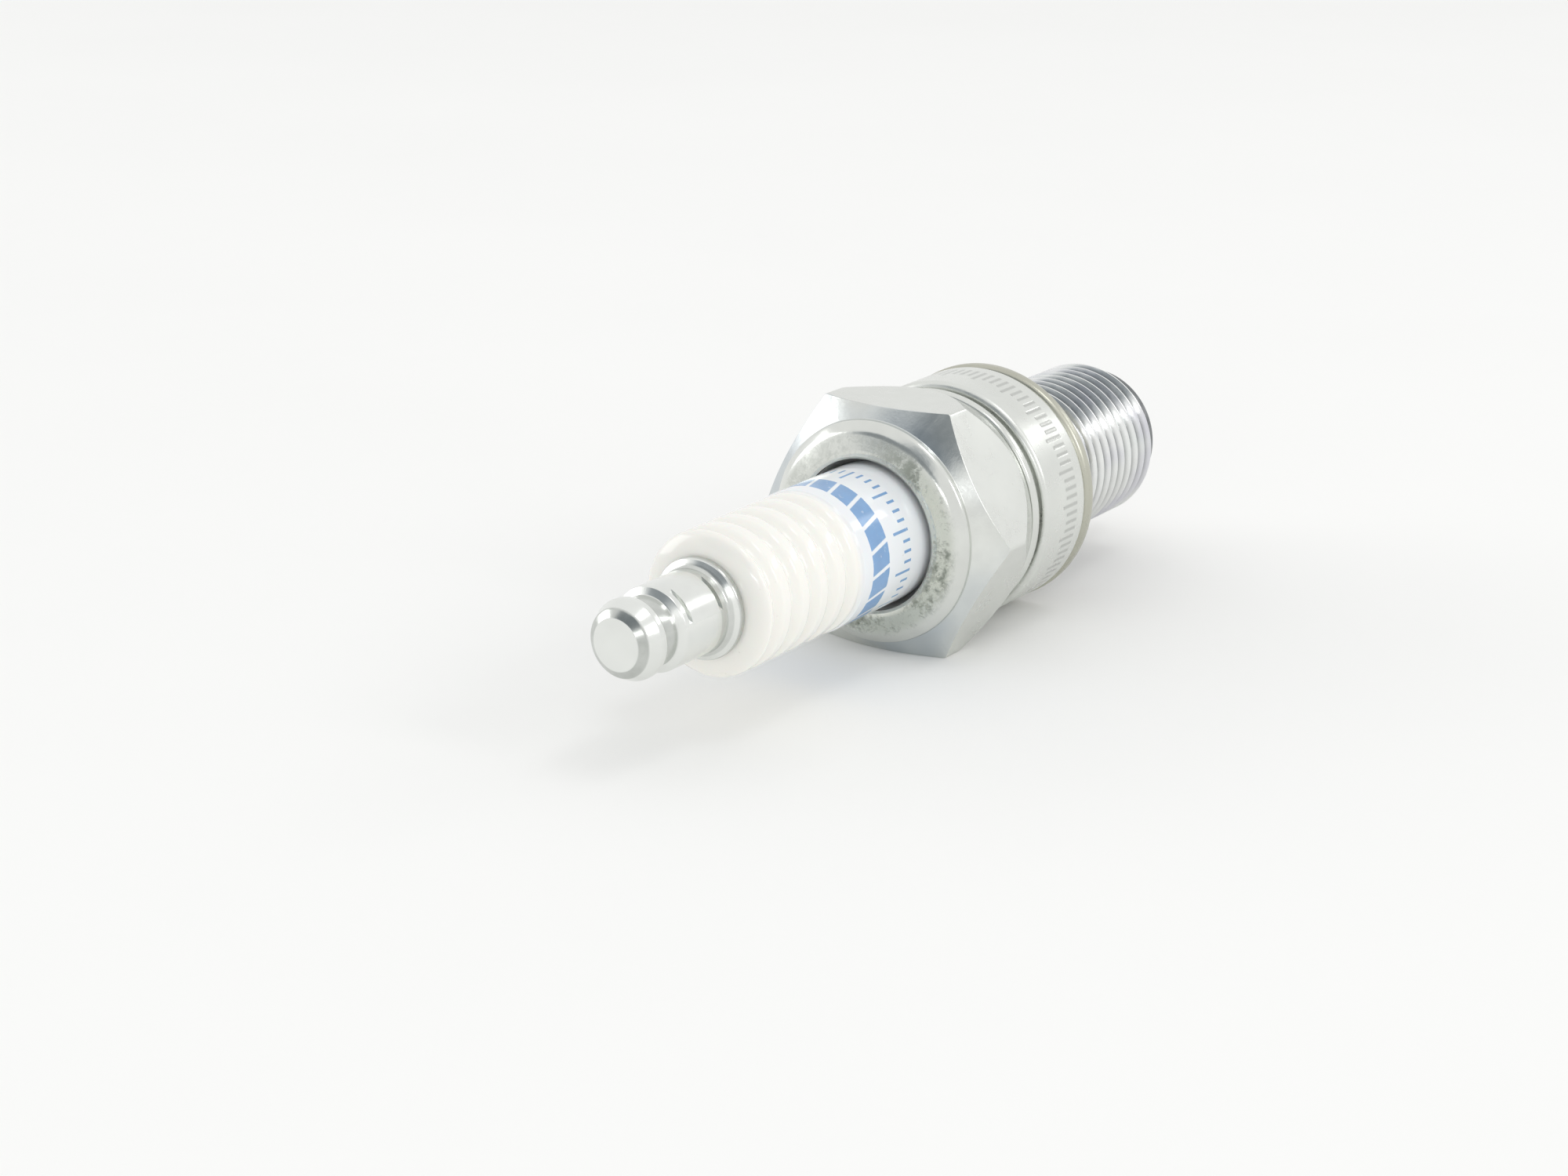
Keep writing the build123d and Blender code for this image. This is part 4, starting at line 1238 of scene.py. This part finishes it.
class SPARKPLUG_OT_stage(Operator):
    """Lay the floor, light the plug and place the camera"""

    bl_idname = "spark_plug.stage"
    bl_label = "Stage"

    def floor(self, settings):
        half = 2.0
        z = CAD_BOX[0][2]
        mesh = bpy.data.meshes.new("floor")
        corners = [(-half, -half, z), (half, -half, z), (half, half, z), (-half, half, z)]
        mesh.from_pydata(corners, [], [(0, 1, 2, 3)])
        floor = new_object("floor", mesh)
        r = Recipe("pale floor")
        tone = r.noise(14.0, 4.0, 0.6)
        base = r.mix(tone, shade(settings.floor_colour, 0.985), shade(settings.floor_colour, 1.01))
        normal = r.bump(r.noise(500.0, 3.0), 2e-5)
        matt = r.set(Base_Color=base, Roughness=0.9, Normal=normal, Specular_IOR_Level=0.0)
        floor.data.materials.append(matt)

    def sky(self, settings):
        """White all round, with darker and slightly blue patches that give the metal its contrast."""
        world = bpy.data.worlds.new("soft studio")
        bpy.context.scene.world = world
        world.use_nodes = True
        tree = world.node_tree
        tree.nodes.clear()
        direction = add(tree, "ShaderNodeTexCoord").outputs["Generated"]
        clear = 1.0
        # each patch: azimuth and elevation, and the radii where it starts to fade and ends, in degrees
        for azimuth, elevation, inner, outer in ((6.0, 37.0, 12.0, 23.0), (-24.0, 29.0, 12.0, 22.0)):
            middle = toward(math.radians(azimuth), math.radians(elevation))
            dot = add(tree, "ShaderNodeVectorMath", {0: direction, 1: middle}, operation="DOT_PRODUCT")
            inputs = {
                "Value": dot.outputs["Value"],
                "From Min": math.cos(math.radians(outer)),
                "From Max": math.cos(math.radians(inner)),
                "To Min": 1.0,
                "To Max": 0.0,
            }
            patch = add(tree, "ShaderNodeMapRange", inputs, interpolation_type="SMOOTHSTEP").outputs[0]
            clear = tree_maths(tree, "MINIMUM", clear, patch)
        dark = settings.dark_strength
        share_left = tree_maths(tree, "MULTIPLY_ADD", clear, 1.0 - dark, dark)
        lit = tree_maths(tree, "MULTIPLY", share_left, settings.sky_strength)
        tint = add(tree, "ShaderNodeMix", {0: clear}, data_type="RGBA")
        tint.inputs[6].default_value = (0.86, 0.94, 1.0, 1.0)
        tint.inputs[7].default_value = (1.0, 1.0, 0.995, 1.0)
        sky = add(tree, "ShaderNodeBackground", {"Color": tint.outputs[2], "Strength": lit})
        add(tree, "ShaderNodeOutputWorld", {"Surface": sky.outputs[0]})

    def lamp(self, name, azimuth, elevation, size, watts):
        """A soft panel that faces the middle of the plug, placed by two angles in degrees."""
        middle, distance = Vector((0.015, 0.0, 0.0)), 0.9
        data = bpy.data.lights.new(name, "AREA")
        data.shape = "RECTANGLE"
        data.size, data.size_y = size
        data.energy = watts
        lamp = bpy.data.objects.new(name, data)
        bpy.context.scene.collection.objects.link(lamp)
        offset = toward(math.radians(azimuth), math.radians(elevation)) * distance
        lamp.location = middle + offset
        lamp.rotation_euler = (-offset).to_track_quat("-Z", "Y").to_euler()

    def camera(self, settings):
        data = bpy.data.cameras.new("camera")
        data.lens = settings.lens
        data.sensor_width = 36.0
        data.clip_start = 0.01
        data.clip_end = 20.0
        camera = bpy.data.objects.new("camera", data)
        bpy.context.scene.collection.objects.link(camera)
        offset = toward(settings.camera_azimuth, settings.camera_elevation) * settings.camera_distance
        camera.location = Vector(settings.aim) + offset
        camera.rotation_euler = (-offset).to_track_quat("-Z", "Y").to_euler()
        bpy.context.scene.camera = camera

    def execute(self, context):
        settings = context.scene.spark_plug_stage
        context.scene.view_settings.view_transform = "Standard"
        self.floor(settings)
        self.sky(settings)
        self.lamp("left panel", -70.0, 14.0, size=(0.5, 0.4), watts=1.0)
        self.lamp("right panel", 92.0, 30.0, size=(0.22, 0.3), watts=0.75)
        self.lamp("top panel", 105.0, 70.0, size=(0.3, 0.2), watts=0.5)
        self.lamp("front strip", 20.0, 15.0, size=(0.25, 0.06), watts=0.25)
        self.lamp("back strip", 151.0, 27.0, size=(0.3, 0.1), watts=0.2)
        self.camera(settings)
        return {"FINISHED"}


class SPARKPLUG_PT_panel(Panel):
    """The plug's pieces, in the 3D view's sidebar"""

    bl_idname = "SPARKPLUG_PT_panel"
    bl_label = "Spark plug"
    bl_space_type = "VIEW_3D"
    bl_region_type = "UI"
    bl_category = "Spark plug"

    def draw(self, context):
        for operator in OPERATORS:
            self.layout.operator(operator.bl_idname)


OPERATORS = (
    SPARKPLUG_OT_shell,
    SPARKPLUG_OT_strap,
    SPARKPLUG_OT_gasket,
    SPARKPLUG_OT_insulator,
    SPARKPLUG_OT_centre_electrode,
    SPARKPLUG_OT_stud,
    SPARKPLUG_OT_nut,
    SPARKPLUG_OT_inner_pieces,
    SPARKPLUG_OT_stage,
)
SETTINGS = {
    "spark_plug_shell": ShellSizes,
    "spark_plug_insulator": InsulatorSizes,
    "spark_plug_nut": NutSizes,
    "spark_plug_finishes": Finishes,
    "spark_plug_stage": StageSettings,
}


def register():
    for group in SETTINGS.values():
        bpy.utils.register_class(group)
    for name, group in SETTINGS.items():
        setattr(bpy.types.Scene, name, PointerProperty(type=group))
    for operator in OPERATORS:
        bpy.utils.register_class(operator)
    bpy.utils.register_class(SPARKPLUG_PT_panel)


def unregister():
    bpy.utils.unregister_class(SPARKPLUG_PT_panel)
    for operator in reversed(OPERATORS):
        bpy.utils.unregister_class(operator)
    for name, group in SETTINGS.items():
        delattr(bpy.types.Scene, name)
        bpy.utils.unregister_class(group)


def main():
    register()
    bpy.ops.spark_plug.shell()
    bpy.ops.spark_plug.strap()
    bpy.ops.spark_plug.gasket()
    bpy.ops.spark_plug.insulator()
    bpy.ops.spark_plug.centre_electrode()
    bpy.ops.spark_plug.stud()
    bpy.ops.spark_plug.nut()
    bpy.ops.spark_plug.inner_pieces()
    bpy.ops.spark_plug.stage()


if __name__ == "__main__":
    main()
